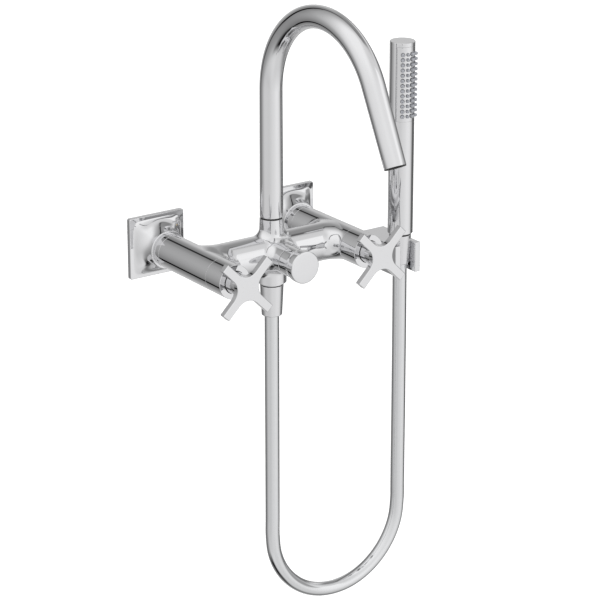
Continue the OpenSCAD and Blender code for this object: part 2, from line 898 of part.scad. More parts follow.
// Check valve in the nipple's bore
module check_valve() {
    color(plastic)
        translate([0, -bar_out, nipple_foot + 2])
            difference() {
                cylinder(r = nipple_bore_r - overlap, h = check_valve_len);
                for (a = [0:60:300])
                    rotate(a)
                        translate([3.2, 0, -overlap])
                            cylinder(r = 1.1, h = check_valve_len + 2 * overlap, $fn = 16);
            }
}

// Tapered nut that holds the hose on the nipple
module hose_nut() {
    color(chrome)
        translate([0, -bar_out, nut_foot])
            difference() {
                cylinder(r1 = nut_end_r, r2 = nut_top_r, h = nut_len);
                translate([0, 0, hose_start - nut_foot])
                    cylinder(r = thread_r + slip_gap, h = nut_len);
                translate([0, 0, -overlap])
                    cylinder(r = hose_r + move_gap, h = nut_len);
            }
}

// Washer between the nipple and the hose's tail
module hose_washer() {
    color(rubber)
        translate([0, -bar_out, tail_top])
            tube(thread_r - 0.4, nipple_bore_r, washer_thick);
}

// Flanged tail on the hose's end at the mixer
module hose_tail() {
    color(brass)
        translate([0, -bar_out, hose_start])
            tube(thread_r - 0.2, tail_bore_r, tail_thick);
}

// Shower hose: one round tube from the mixer's tail, round the loop, to the hand shower's tail
module hose() {
    line = smooth(hose_route, hose_steps);
    color(chrome)
        translate([0, -bar_out, 0])
            skin([for (i = [0:len(line) - 1]) section(line[i], unit(heading(line, i)), hose_r, hose_sides)]);
}

// Flanged tail on the hose's end at the hand shower
module hose_end_tail() {
    color(brass)
        translate([shower_x, -bar_out, hose_end])
            difference() {
                union() {
                    cylinder(r = hose_r, h = end_tail_top - hose_end);
                    translate([0, 0, end_tail_top - end_tail_thick - hose_end])
                        cylinder(r = end_tail_r, h = end_tail_thick);
                }
                translate([0, 0, -overlap])
                    cylinder(r = tail_bore_r, h = end_tail_top - hose_end + 2 * overlap);
            }
}

// Washer between the hose's end and the hand shower
module cone_washer() {
    color(rubber)
        translate([shower_x, -bar_out, end_tail_top])
            tube(end_tail_r, spigot_bore_r, washer_thick);
}

// Conical nut on the hand shower's foot; it sits in the fork and the hose's end turns in it
module cone_nut() {
    color(chrome)
        translate([shower_x, -bar_out, cone_foot])
            difference() {
                cylinder(r1 = cone_end_r, r2 = cone_top_r, h = cone_len);
                translate([0, 0, cone_shoulder - cone_foot])
                    cylinder(r = spigot_r + overlap, h = cone_len);
                translate([0, 0, -overlap])
                    cylinder(r = cone_hole_r, h = cone_len);
            }
}

// A part of a ring that faces front, over a given angle
module front_ring(r, thick, angle, height) {
    rotate(-90 - angle / 2)
        rotate_extrude(angle = angle)
            translate([r - thick, 0])
                square([thick, height]);
}

// Hand shower tube, cut away for its spray strip
module handset_tube() {
    color(chrome)
        translate([shower_x, -bar_out, shower_foot])
            difference() {
                tube(shower_r, shower_r - shower_wall, strip_top - shower_foot);
                translate([0, 0, strip_foot - shower_foot])
                    front_ring(shower_r + 1, shower_wall + 2, strip_angle, strip_top);
            }
}

// Flat end cap with a short plug in the tube
module handset_cap() {
    color(chrome)
        translate([shower_x, -bar_out, strip_top]) {
            cylinder(r = shower_r, h = cap_thick);
            translate([0, 0, -4])
                cylinder(r = shower_r - shower_wall - mat_thick - 0.2, h = 4);
        }
}

// Where the nozzles stand
module at_nozzles() {
    for (row = [0:nozzle_rows - 1], column = nozzle_columns)
        translate([0, 0, nozzle_top - row * nozzle_pitch])
            rotate([90, 0, column * nozzle_step])
                children();
}

// Spray strip, flush in the tube, with a hole for each nozzle
module spray_strip() {
    color(chrome)
        translate([shower_x, -bar_out, 0])
            difference() {
                translate([0, 0, strip_foot + 0.1])
                    front_ring(shower_r, strip_thick, strip_angle - 0.6, strip_top - strip_foot - 0.2);
                at_nozzles()
                    cylinder(r = nozzle_r + 0.05, h = 2 * shower_r);
            }
}

// Rubber mat behind the strip with its nozzles, one to each hole
module spray_nozzles() {
    color(rubber)
        translate([shower_x, -bar_out, 0]) {
            translate([0, 0, strip_foot + 2])
                front_ring(shower_r - strip_thick, mat_thick, strip_angle - 14, strip_top - strip_foot - 7);
            at_nozzles()
                translate([0, 0, shower_r - strip_thick - mat_thick / 2]) {
                    cylinder(r = nozzle_r, h = strip_thick + mat_thick / 2);
                    translate([0, 0, strip_thick + mat_thick / 2])
                        cylinder(r1 = nozzle_r, r2 = nozzle_tip_r, h = nozzle_out);
                }
        }
}

// Threaded spigot in the hand shower's foot
module handset_spigot() {
    color(brass)
        translate([shower_x, -bar_out, spigot_foot])
            difference() {
                union() {
                    cylinder(r = spigot_r, h = spigot_thread);
                    translate([0, 0, spigot_thread])
                        cylinder(r = shower_r - shower_wall - overlap, h = spigot_in);
                }
                translate([0, 0, -overlap])
                    cylinder(r = spigot_bore_r, h = spigot_thread + spigot_in + 2 * overlap);
            }
}

// Fork block: a seat that follows the conical nut, open to the front
module holder_fork() {
    color(chrome)
        difference() {
            translate([shower_x - fork_w / 2, -fork_mouth_out, fork_foot])
                cube([fork_w, fork_d, fork_h]);
            translate([shower_x, -bar_out, fork_foot - overlap])
                cylinder(r = seat_r, h = fork_h);
            translate([shower_x, -bar_out, cone_foot])
                cylinder(r1 = seat_r, r2 = seat_top_r, h = fork_top - cone_foot);
            translate([shower_x - mouth_w / 2, -fork_mouth_out - 1, fork_foot - 1])
                cube([mouth_w, fork_front + 1, fork_h + 2]);
            translate([shower_x - fork_w / 2 - overlap, -arm_out, arm_to[1]])
                rotate([0, 90, 0])
                    cylinder(r = holder_screw_r, h = holder_screw_in);
        }
}

module arm_bend(angle, r) {
    rotate_extrude(angle = angle)
        translate([arm_bend_r, 0])
            circle(r = r);
}

// Arm from the right leg's flank, bent down and level again, to the fork
module holder_arm() {
    color(chrome)
        difference() {
            out_from(0, arm_out) {
                translate([half_spacing, arm_from[1], 0])
                    rotate([0, 90, 0])
                        cylinder(r = arm_foot_r, h = leg_r + arm_lead - 1);
                translate([half_spacing, arm_from[1], 0])
                    rotate([0, 90, 0])
                        cylinder(r = holder_arm_r + joint_step, h = leg_r + arm_lead + joint_step);
                translate([arm_from[0], arm_from[1] - arm_bend_r, 0])
                    rotate(90 - arm_turn)
                        arm_bend(arm_turn, holder_arm_r);
                translate([arm_to[0], arm_to[1] + arm_bend_r, 0])
                    rotate(270 - arm_turn - joint_step * 2)
                        arm_bend(arm_turn + joint_step * 2, holder_arm_r + joint_step);
                translate([arm_to[0] - joint_step, arm_to[1], 0])
                    rotate([0, 90, 0])
                        cylinder(r = arm_foot_r, h = arm_flange + joint_step);
            }
            out_from(half_spacing, leg_back)
                cylinder(r = leg_r + overlap, h = leg_out);
            translate([arm_to[0] - 2, -arm_out, arm_to[1]])
                rotate([0, 90, 0])
                    cylinder(r = holder_screw_r, h = arm_flange + 3);
        }
}

// Stud between the arm and the fork
module holder_screw() {
    color(brass)
        translate([arm_to[0] - 1.9, -arm_out, arm_to[1]])
            rotate([0, 90, 0])
                cylinder(r = holder_screw_r - overlap, h = arm_flange + holder_screw_in + 1.5);
}

module wall_union_left() {
    wall_union(-1);
}

module wall_union_right() {
    wall_union(1);
}

module union_seals_left() {
    union_seals(-1);
}

module union_seals_right() {
    union_seals(1);
}

module inlet_filter_left() {
    inlet_filter(-1);
}

module inlet_filter_right() {
    inlet_filter(1);
}

module wall_plate_left() {
    wall_plate(-1);
}

module wall_plate_right() {
    wall_plate(1);
}

module plate_ring_left() {
    plate_ring(-1);
}

module plate_ring_right() {
    plate_ring(1);
}

module cartridge_left() {
    cartridge(-1);
}

module cartridge_right() {
    cartridge(1);
}

module cartridge_seal_left() {
    cartridge_seal(-1);
}

module cartridge_seal_right() {
    cartridge_seal(1);
}

module spindle_left() {
    spindle(-1);
}

module spindle_right() {
    spindle(1);
}

module bonnet_left() {
    bonnet(-1);
}

module bonnet_right() {
    bonnet(1);
}

module handle_left() {
    handle(-1);
}

module handle_right() {
    handle(1);
}

module handle_insert_left() {
    handle_insert(-1);
}

module handle_insert_right() {
    handle_insert(1);
}

module handle_screw_left() {
    handle_screw(-1);
}

module handle_screw_right() {
    handle_screw(1);
}

mixer_body();
wall_union_left();
wall_union_right();
union_seals_left();
union_seals_right();
inlet_filter_left();
inlet_filter_right();
wall_plate_left();
wall_plate_right();
plate_ring_left();
plate_ring_right();
leg_screws();
cartridge_left();
cartridge_right();
cartridge_seal_left();
cartridge_seal_right();
spindle_left();
spindle_right();
bonnet_left();
bonnet_right();
handle_left();
handle_right();
handle_insert_left();
handle_insert_right();
handle_screw_left();
handle_screw_right();
spout_tube();
spout_seals();
spout_washer();
spout_screw();
aerator();
diverter_knob();
diverter_stem();
diverter_spring();
diverter_disc();
diverter_bush();
diverter_seal();
hose_nipple();
check_valve();
hose_nut();
hose_washer();
hose_tail();
hose();
hose_end_tail();
cone_washer();
cone_nut();
handset_tube();
handset_cap();
spray_strip();
spray_nozzles();
handset_spigot();
holder_fork();
holder_arm();
holder_screw();
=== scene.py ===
# %% [markdown]
# # A wall mounted bath mixer with a hand shower
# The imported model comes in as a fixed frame: every solid is already at its true
# size and place, in metres. X runs right along the wall, the wall is Y = 0, the
# mixer stands out towards -Y, and Z is up. Blender adds what polished metal needs:
# soft casting fillets, rounded edges, clean seams, good finishes and a studio.

# %% Load the frame
import json
import math
import bpy
import numpy as np
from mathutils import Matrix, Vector

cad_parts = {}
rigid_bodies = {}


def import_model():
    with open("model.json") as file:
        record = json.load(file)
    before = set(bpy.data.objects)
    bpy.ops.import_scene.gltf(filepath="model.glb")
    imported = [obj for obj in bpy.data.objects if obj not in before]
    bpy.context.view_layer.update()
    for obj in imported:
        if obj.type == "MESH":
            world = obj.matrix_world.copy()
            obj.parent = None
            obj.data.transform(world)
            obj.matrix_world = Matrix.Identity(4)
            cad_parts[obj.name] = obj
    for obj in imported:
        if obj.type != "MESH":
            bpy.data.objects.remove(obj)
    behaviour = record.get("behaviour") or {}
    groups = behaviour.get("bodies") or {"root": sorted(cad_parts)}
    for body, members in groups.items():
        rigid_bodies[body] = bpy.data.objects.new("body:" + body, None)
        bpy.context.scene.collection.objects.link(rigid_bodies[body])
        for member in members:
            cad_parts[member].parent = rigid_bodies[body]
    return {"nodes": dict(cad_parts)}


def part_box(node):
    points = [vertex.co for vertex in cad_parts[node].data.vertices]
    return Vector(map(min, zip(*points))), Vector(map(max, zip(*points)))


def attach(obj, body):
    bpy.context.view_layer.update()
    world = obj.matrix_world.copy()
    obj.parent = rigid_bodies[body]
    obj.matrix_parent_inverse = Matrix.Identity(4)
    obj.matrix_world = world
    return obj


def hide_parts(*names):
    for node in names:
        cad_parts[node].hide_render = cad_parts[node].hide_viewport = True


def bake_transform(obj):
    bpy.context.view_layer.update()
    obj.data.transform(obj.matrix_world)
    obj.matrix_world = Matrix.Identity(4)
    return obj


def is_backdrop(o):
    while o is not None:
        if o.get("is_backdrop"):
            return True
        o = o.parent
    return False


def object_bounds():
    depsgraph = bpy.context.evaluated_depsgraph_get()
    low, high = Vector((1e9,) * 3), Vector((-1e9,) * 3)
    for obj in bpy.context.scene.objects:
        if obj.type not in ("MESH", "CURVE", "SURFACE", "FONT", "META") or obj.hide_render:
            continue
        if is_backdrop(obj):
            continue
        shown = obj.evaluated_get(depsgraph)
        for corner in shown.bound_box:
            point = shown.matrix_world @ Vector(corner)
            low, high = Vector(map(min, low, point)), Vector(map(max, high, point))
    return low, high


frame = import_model()
scene = bpy.context.scene
cad_box = [[float(v) for v in corner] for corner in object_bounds()]
MM = 0.001
print("solids:", len(frame["nodes"]), "CAD box:", cad_box)

# %% [markdown]
# ## Key places
# Positions come from the boxes of the solids, so a piece lands where the model has
# it. The three upright lines of the design are the spout in the middle and a valve
# on each side; the hand shower hangs on a fourth line, right of the right valve.

# %% Read the key places
def low(node):
    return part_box(node)[0]


def high(node):
    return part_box(node)[1]


def middle(node, axis):
    return 0.5 * (low(node)[axis] + high(node)[axis])


def half_width(node):
    return 0.5 * (high(node)[0] - low(node)[0])


LEG_X = middle("bonnet_right", 0)
SIDES = (("left", -LEG_X), ("right", LEG_X))
BAR_Y = middle("hose_nut", 1)
SHOWER_X = middle("handset_tube", 0)
SHOWER_Y = middle("handset_tube", 1)
BONNET_BACK = high("bonnet_right")[1]
BONNET_FRONT = low("bonnet_right")[1]
print("valves at x = +/-%.4f, bar at y = %.4f" % (LEG_X, BAR_Y))
print("hand shower at x = %.4f, y = %.4f" % (SHOWER_X, SHOWER_Y))

# %% [markdown]
# ## The camera
# A long lens from the left and a little above keeps the upright lines nearly
# parallel. The camera is aimed at one point of the object, so it can be moved by
# changing that point or the place of the eye alone.

# %% Place the camera
AIM = Vector((0.050029, -0.059816, -0.065232))
EYE = Vector((-1.317662, -2.006016, 0.7941))
LENS = 158.6

camera_data = bpy.data.cameras.new("camera")
camera_data.lens = LENS
camera_data.sensor_width = 36.0
camera_data.clip_start = 0.05
camera = bpy.data.objects.new("camera", camera_data)
camera.location = EYE
camera.rotation_euler = (AIM - EYE).to_track_quat("-Z", "Y").to_euler()
scene.collection.objects.link(camera)
scene.camera = camera
print("camera at %s, lens %.1f mm" % (tuple(round(v, 3) for v in EYE), LENS))

# %% [markdown]
# ## Small helpers for modelling
# An operator works on all that is selected, and the loaded solids are selected, so
# each new piece starts by deselecting everything. A finished piece has its place in
# its mesh and its object at the origin.

# %% Helpers that start and finish a piece
def deselect():
    for o in bpy.context.view_layer.objects:
        o.select_set(False)


def only(o):
    deselect()
    o.select_set(True)
    bpy.context.view_layer.objects.active = o


def apply_modifiers(o):
    only(o)
    for m in list(o.modifiers):
        bpy.ops.object.modifier_apply(modifier=m.name)


def settle(o, name):
    only(o)
    bpy.ops.object.transform_apply(location=True, rotation=True, scale=True)
    o.name = name
    o.data.name = name
    return o


def joined(objects):
    """Joins the objects into the first one."""
    deselect()
    for o in objects:
        o.select_set(True)
    bpy.context.view_layer.objects.active = objects[0]
    bpy.ops.object.join()
    return bpy.context.object


def edit_all(o):
    """Opens a piece in edit mode with all of it selected."""
    only(o)
    bpy.ops.object.mode_set(mode="EDIT")
    bpy.ops.mesh.select_all(action="SELECT")


def close_edit(merge=0.0):
    """Merges points closer than merge, turns the faces outwards and leaves edit mode."""
    bpy.ops.mesh.select_all(action="SELECT")
    if merge:
        bpy.ops.mesh.remove_doubles(threshold=merge)
    bpy.ops.mesh.normals_make_consistent(inside=False)
    bpy.ops.object.mode_set(mode="OBJECT")


def smooth(o, degrees=32, weighted=True):
    only(o)
    bpy.ops.object.shade_smooth_by_angle(angle=math.radians(degrees))
    if weighted:
        m = o.modifiers.new("weighted", "WEIGHTED_NORMAL")
        m.keep_sharp = True
        m.weight = 90
        bpy.ops.object.modifier_apply(modifier=m.name)
    print("%s: %d faces" % (o.name, len(o.data.polygons)))
    return o


# %% [markdown]
# ## Turned pieces
# Most of a mixer is turned on a lathe. Here a ring is added and extruded from one
# station to the next, as a lathe tool would follow the profile. A station is a
# radius and a place along the axis; an arc of stations rounds an edge.

# %% Helpers for turned pieces
OUT, UP = (0, -1, 0), (0, 0, 1)    # most axes point out of the wall or up


def arc(r0, a0, r1, a1, out=True, steps=5):
    """Stations of a quarter round from (r0, a0) to (r1, a1)."""
    pts = []
    for i in range(steps + 1):
        t = math.radians(90 * i / steps)
        if out:
            pts.append((r0 + (r1 - r0) * math.sin(t), a0 + (a1 - a0) * (1 - math.cos(t))))
        else:
            pts.append((r0 + (r1 - r0) * (1 - math.cos(t)), a0 + (a1 - a0) * math.sin(t)))
    return pts


def turned(name, centre, axis, stations, sides=96, closed=False, degrees=32):
    """stations: (radius, distance along axis) in metres; closed joins the last to the first."""
    deselect()
    axis = Vector(axis)
    turn = axis.to_track_quat("Z", "Y").to_euler()
    r, a = stations[0]
    at = Vector(centre) + axis * a
    fill = "NOTHING" if closed else "NGON"
    bpy.ops.mesh.primitive_circle_add(vertices=sides, radius=r, fill_type=fill,
                                      location=at, rotation=turn)
    o = bpy.context.object
    edit_all(o)
    for r2, a2 in stations[1:] + (stations[:1] if closed else []):
        here = Vector(centre) + axis * a2
        bpy.ops.mesh.extrude_region_move(
            TRANSFORM_OT_translate={"value": here - at, "orient_type": "GLOBAL"})
        k = r2 / r
        bpy.ops.transform.resize(value=(k, k, k), center_override=here)
        r, at = r2, here
    close_edit(merge=2e-6)
    return smooth(settle(o, name), degrees)


# %% [markdown]
# ## The hose
# The hose is a smooth metal sleeve over a rubber tube, just under 14 mm across. It
# leaves the outlet under the bar, hangs in one free loop and climbs back into the
# foot of the hand shower. It is a free cord of fixed length, so its route is written
# down point by point: straight out of the nut, down under its own weight, round the
# loop. The sleeve is a stack of rings that stand square to the route.

# %% The route of the hose
HOSE_R = 0.0069
# right along the wall and up, in millimetres
LOOP = [(0, -45.4), (0, -90), (0, -140), (0, -190), (0, -240), (0, -270), (0, -290),
        (2.5, -309.5), (10, -327.5), (22, -343), (37.5, -355), (55.5, -362.5),
        (75, -365), (94.5, -362.5), (112.5, -355), (128.2, -343), (140.3, -327.5),
        (147.9, -309.5), (150.5, -290), (150.6, -270), (150.6, -240), (150.6, -190),
        (150.5, -140), (150.3, -90), (150, -34)]
route = [Vector((x * MM, BAR_Y, z * MM)) for x, z in LOOP]


def along(points, steps):
    """A smooth curve through the points."""
    out = []
    for i in range(len(points) - 1):
        p0 = points[max(i - 1, 0)]
        p1, p2 = points[i], points[i + 1]
        p3 = points[min(i + 2, len(points) - 1)]
        for s in range(steps):
            t = s / steps
            out.append(0.5 * (2 * p1 + (p2 - p0) * t + (2 * p0 - 5 * p1 + 4 * p2 - p3) * t * t
                              + (3 * p1 - p0 - 3 * p2 + p3) * t ** 3))
    return out + [points[-1]]


line = along(route, 10)


# %% Sweep the hose along its route
def tube_of_rings(name, rings, sides):
    """A closed tube. A ring is its centre, its radius and two directions square to the tube."""
    verts, faces = [], []
    for p, r, u, w in rings:
        for k in range(sides):
            q = 2 * math.pi * k / sides
            verts.append(p + r * (math.cos(q) * u + math.sin(q) * w))
    last = (len(rings) - 1) * sides
    for i in range(0, last, sides):
        for k in range(sides):
            j = (k + 1) % sides
            faces.append((i + k, i + j, i + sides + j, i + sides + k))
    faces.append(tuple(reversed(range(sides))))
    faces.append(tuple(range(last, last + sides)))
    mesh = bpy.data.meshes.new(name)
    mesh.from_pydata(verts, [], faces)
    mesh.update()
    o = bpy.data.objects.new(name, mesh)
    scene.collection.objects.link(o)
    edit_all(o)
    close_edit()
    return o


# the route is flat, so every ring shares the direction square to its plane
aside = Vector((0, 1, 0))
rings = []
for i, p in enumerate(line):
    way = line[min(i + 1, len(line) - 1)] - line[max(i - 1, 0)]
    rings.append((p, HOSE_R, aside.cross(way.normalized()).normalized(), aside))
hose = smooth(tube_of_rings("hose_sleeve", rings, 32), 40, weighted=False)
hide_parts("hose")

# %% [markdown]
# ## The studio
# Polished metal has almost no colour of its own: it shows the room. The room here
# is a white tent with soft boards, a round shade and dark gaps in it. A board is a
# patch of the sky given by its direction, its half widths and how soft its edge is.
# The camera sees plain white, and a pale floor under the object takes its shadow.

# %% Helpers for shader nodes and directions
def add(tree, kind, inputs=None, **settings):
    """A new node. Its inputs, by name or number, get a value or another node's output."""
    n = tree.nodes.new("ShaderNode" + kind)
    for key, value in settings.items():
        setattr(n, key, value)
    for key, value in (inputs or {}).items():
        if isinstance(value, bpy.types.NodeSocket):
            tree.links.new(value, n.inputs[key])
        else:
            n.inputs[key].default_value = value
    return n


def direction(az, el):
    """Azimuth 0 is the wall side (+Y), 90 is +X, 180 is the front."""
    a, e = math.radians(az), math.radians(el)
    return Vector((math.sin(a) * math.cos(e), math.cos(a) * math.cos(e), math.sin(e)))


# %% Helpers that lay tones on the tent
world = bpy.data.worlds.new("studio")
scene.world = world
world.use_nodes = True
tree = world.node_tree
tree.nodes.clear()


def math_node(op, *values):
    return add(tree, "Math", dict(enumerate(values)), operation=op).outputs[0]


def dot(vector):
    return add(tree, "VectorMath", {0: sky, 1: vector}, operation="DOT_PRODUCT").outputs["Value"]


def fade(value, start, end):
    """1 below start, 0 above end, smooth between."""
    ends = {"Value": value, "From Min": start, "From Max": end, "To Min": 1.0, "To Max": 0.0}
    return add(tree, "MapRange", ends, interpolation_type="SMOOTHSTEP").outputs["Result"]


def lay(under, mask, tone):
    return add(tree, "Mix", {0: mask, 2: under, 3: tone}, data_type="FLOAT").outputs[0]


def patch(under, centre, right, up, half_w, half_h, soft, tone):
    """A soft-edged rectangle of tone laid over the tone under it. Angles are in degrees."""
    x = math_node("ABSOLUTE", math_node("ARCTAN2", dot(right), dot(centre)))
    y = math_node("ABSOLUTE", math_node("ARCSINE", dot(up)))
    w, h, e = math.radians(half_w), math.radians(half_h), math.radians(soft)
    mask = math_node("MULTIPLY", fade(x, w - e, w + e), fade(y, h - e, h + e))
    return lay(under, mask, tone)


def card(under, az, el, half_w, half_h, soft, tone, turn):
    centre = direction(az, el)
    right = Vector((math.cos(math.radians(az)), -math.sin(math.radians(az)), 0))
    up = right.cross(centre)
    c, s = math.cos(math.radians(turn)), math.sin(math.radians(turn))
    return patch(under, centre, right * c + up * s, up * c - right * s,
                 half_w, half_h, soft, tone)


def shade(under, az, el, inner, outer, tone):
    """A round shade: full within inner degrees of its centre, gone at outer degrees."""
    away = math_node("ARCCOSINE", dot(direction(az, el)))
    return lay(under, fade(away, math.radians(inner), math.radians(outer)), tone)


def gap(under, az0, el0, az1, el1, half_w, soft, tone):
    """A dark gap between two boards, from one direction to another."""
    a, b = direction(az0, el0), direction(az1, el1)
    centre, up = (a + b).normalized(), (b - a).normalized()
    half_h = 0.5 * math.degrees(a.angle(b))
    return patch(under, centre, up.cross(centre), up, half_w, half_h, soft, tone)


# %% Build the tent and its boards
sky = add(tree, "TexCoord").outputs["Generated"]
tent = math_node("ADD", 1.0, 0.0)
# Each board is laid over those before it. Its numbers are in its helper's order: a card
# has azimuth, elevation, half width, half height, softness, tone and turn. Angles are
# in degrees, and azimuth is 0 behind the wall and 90 at the right.
STUDIO = [
    (card, -165, 75, 55, 45, 25, 1.15, 45),    # white roof, over the front
    (card, -95, -25, 50, 15, 30, 0.7, 0),      # pale board, low at the left
    (shade, 40, -20, 55, 115, 0.22),           # dim room beyond the wall
    (card, 150, -5, 50, 80, 30, 0.85, 15),     # wide pale wall at the right front
    (card, 70, -55, 30, 15, 30, 0.25, 25),     # dim floor at the right
    (card, 125, 15, 15, 25, 3, 1.2, -45),      # crisp white board at the right
    (card, 155, 5, 30, 25, 30, 1.2, 10),       # its soft neighbour, nearer the front
    (card, 35, 45, 40, 12, 4, 0.27, 20),       # dark board above the wall
    (card, 85, 25, 30, 8, 7, 0.9, 5),          # pale strip under its right end
    (card, 5, -30, 50, 40, 15, 0.6, 15),       # grey board, low behind the wall
    (card, 115, 0, 15, 15, 6, 0.45, 10),       # grey foot of the crisp board
    (card, 70, -20, 35, 6, 4, 0.15, 0),        # dark strip, low at the right
    (card, -30, -35, 20, 45, 20, 0.25, -25),   # dark board, low at the left back
    (card, 15, 55, 45, 4, 30, 0.45, 15),       # dim edge above the dark board
    (card, -60, -67, 18, 20, 8, 0.1, 0),       # dark card near the floor
    (card, -70, -62, 9, 7, 3, 0, 0),           # its black heart
    (card, 35, 15, 5, 20, 20, 0.85, -10),      # pale slit straight behind
    (gap, -32, -46, -21, -5, 3, 1, 0),         # black gaps between the boards
    (gap, -21, -5, 10, 40, 3.5, 1, 0),
    (gap, -32, -46, -62, -56, 3, 1.5, 0.02),
    (gap, -62, -56, -95, -70, 4, 2, 0.02),
    (gap, 5, 35, 45, 52, 2.5, 1, 0.04),
    (gap, 45, 52, 90, 57, 2, 1.5, 0.14),
]
for kind, *numbers in STUDIO:
    tent = kind(tent, *numbers)

rays = add(tree, "LightPath").outputs
plain = math_node("MAXIMUM", rays["Is Camera Ray"], rays["Is Transmission Ray"])
shown = lay(tent, plain, 1.0)
background = add(tree, "Background", {"Color": shown, "Strength": 1.0})
add(tree, "OutputWorld", {"Surface": background.outputs[0]})
print("studio: %d boards and gaps" % len(STUDIO))

# %% Lay the floor
scene.view_settings.view_transform = "Standard"
FLOOR_Z = cad_box[0][2] - 0.45
FLOOR_SIZE = 9.0
PAPER, PAPER_GLOW = (0.9, 0.9, 0.9, 1), 0.5
deselect()
bpy.ops.mesh.primitive_plane_add(size=FLOOR_SIZE, location=(0.0, -0.3, FLOOR_Z))
floor = settle(bpy.context.object, "floor")
floor_mat = bpy.data.materials.new("floor_paper")
floor_mat.use_nodes = True
paper = floor_mat.node_tree
paper.nodes.clear()
clear = add(paper, "BsdfTransparent").outputs[0]
diffuse = add(paper, "BsdfDiffuse", {"Color": PAPER}).outputs[0]
glow = add(paper, "Emission", {"Strength": PAPER_GLOW}).outputs[0]
lit = add(paper, "AddShader", {0: diffuse, 1: glow}).outputs[0]
# only the camera sees the paper, so the metal shows the tent alone
seen = add(paper, "LightPath").outputs["Is Camera Ray"]
seen_paper = add(paper, "MixShader", {0: seen, 1: clear, 2: lit}).outputs[0]
# and it is clear from below
below = add(paper, "NewGeometry").outputs["Backfacing"]
one_sided = add(paper, "MixShader", {0: below, 1: seen_paper, 2: clear}).outputs[0]
add(paper, "OutputMaterial", {"Surface": one_sided})
floor.data.materials.clear()
floor.data.materials.append(floor_mat)
floor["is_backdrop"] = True
print("floor at z = %.3f" % FLOOR_Z)

# %% [markdown]
# ## The finishes
# One maker of materials serves all of them: a base colour, metal or not, a
# roughness that varies a little over the surface, and a bump too fine to see but
# enough to break up a perfect mirror. The patterns are read from object
# coordinates, so they stay on the piece.

# %% A helper for finishes
NOISE_DETAIL, BUMP_DEPTH = 4.0, 0.00005


def finish(name, colour, metallic, rough, rough_spread, grain, bump, colour_spread,
           stretch=(1, 1, 1)):
    """The spreads are how far roughness and colour go to either side of their value."""
    m = bpy.data.materials.new(name)
    m.use_nodes = True
    t = m.node_tree
    shader = t.nodes["Principled BSDF"].inputs
    shader["Base Color"].default_value = (*colour, 1)
    shader["Metallic"].default_value = metallic
    place = add(t, "TexCoord").outputs["Object"]
    scaled = add(t, "Mapping", {"Vector": place, "Scale": stretch}).outputs["Vector"]
    noise = add(t, "TexNoise", {"Vector": scaled, "Scale": grain,
                                "Detail": NOISE_DETAIL}).outputs["Fac"]
    spread = add(t, "MapRange", {"Value": noise, "From Min": 0.3, "From Max": 0.7,
                                 "To Min": max(rough - rough_spread, 0.0),
                                 "To Max": rough + rough_spread})
    t.links.new(spread.outputs["Result"], shader["Roughness"])
    darker = [v * (1 - colour_spread) for v in colour]
    paler = [min(v * (1 + colour_spread), 1) for v in colour]
    tint = add(t, "Mix", {0: noise, 6: (*darker, 1), 7: (*paler, 1)}, data_type="RGBA")
    t.links.new(tint.outputs[2], shader["Base Color"])
    height = add(t, "Bump", {"Strength": bump, "Distance": BUMP_DEPTH, "Height": noise})
    t.links.new(height.outputs["Normal"], shader["Normal"])
    return m


chrome = finish("polished_chrome", (0.71, 0.71, 0.72), 1.0, 0.035, 0.012, 60, 0.02, 0.012)
sleeve = finish("hose_sleeve_metal", (0.69, 0.695, 0.705), 1.0, 0.07, 0.02, 220, 0.03, 0.02)
brass = finish("turned_brass", (0.78, 0.62, 0.32), 1.0, 0.28, 0.06, 400, 0.15, 0.06,
               stretch=(1, 1, 6))
steel = finish("spring_steel", (0.56, 0.57, 0.58), 1.0, 0.32, 0.06, 500, 0.12, 0.05)
rubber = finish("black_rubber", (0.018, 0.018, 0.018), 0.0, 0.62, 0.08, 900, 0.25, 0.25)
nozzle_rubber = finish("grey_nozzle_rubber", (0.43, 0.44, 0.47), 0.0, 0.42, 0.06, 900, 0.2, 0.08)
plastic = finish("moulded_plastic", (0.86, 0.86, 0.84), 0.0, 0.38, 0.05, 700, 0.12, 0.03)
FINISHES = {"chrome": chrome, "hose_metal": sleeve, "brass": brass, "steel": steel,
            "seal_rubber": rubber, "nozzle_rubber": nozzle_rubber, "plastic": plastic}
hose.data.materials.append(sleeve)
print("finishes:", ", ".join(FINISHES))

# %% Give every solid its finish
for name, node in frame["nodes"].items():
    for s in node.material_slots:
        word = s.material.name.split(".")[0] if s.material else ""
        for key, m in FINISHES.items():
            if word.endswith(key):
                s.material = m
                break
        else:
            print("no finish for", name, word)


# %% A helper that ties a finished piece to the frame
def dress(o, body_name, slot, node=None):
    """The body that carries the piece, its finish, and the solid that it stands for."""
    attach(o, body_name)
    if node:
        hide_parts(node)
    o.data.materials.clear()
    o.data.materials.append(FINISHES[slot])
    return o


# %% [markdown]
# ## The body
# The real body is one brass casting: a cross bar, a leg at each end, a neck in front
# for the diverter, a socket on top for the spout and a boss below for the hose. The
# parts meet in generous fillets, because metal flows badly into sharp corners. Here
# cylinders are added, joined and remeshed into one skin, and the skin is then drawn
# onto the rounded union of the same cylinders, so that it reflects like a casting.

# %% The body's measures
LEG_R = half_width("bonnet_right")
BAR_R = 0.0182
NECK_R = 0.0140
SOCKET_R, SOCKET_LIP_R, SOCKET_CORE_R = 0.0125, 0.0111, 0.0115
BOSS_R = 0.0139
NECK_FRONT = -0.1163
SOCKET_TOP = 0.0340
BOSS_FOOT = -0.0284
LEG_BACK = -0.0080
SWELL = 1.25 * LEG_R    # the bar swells to a leg's radius over this length
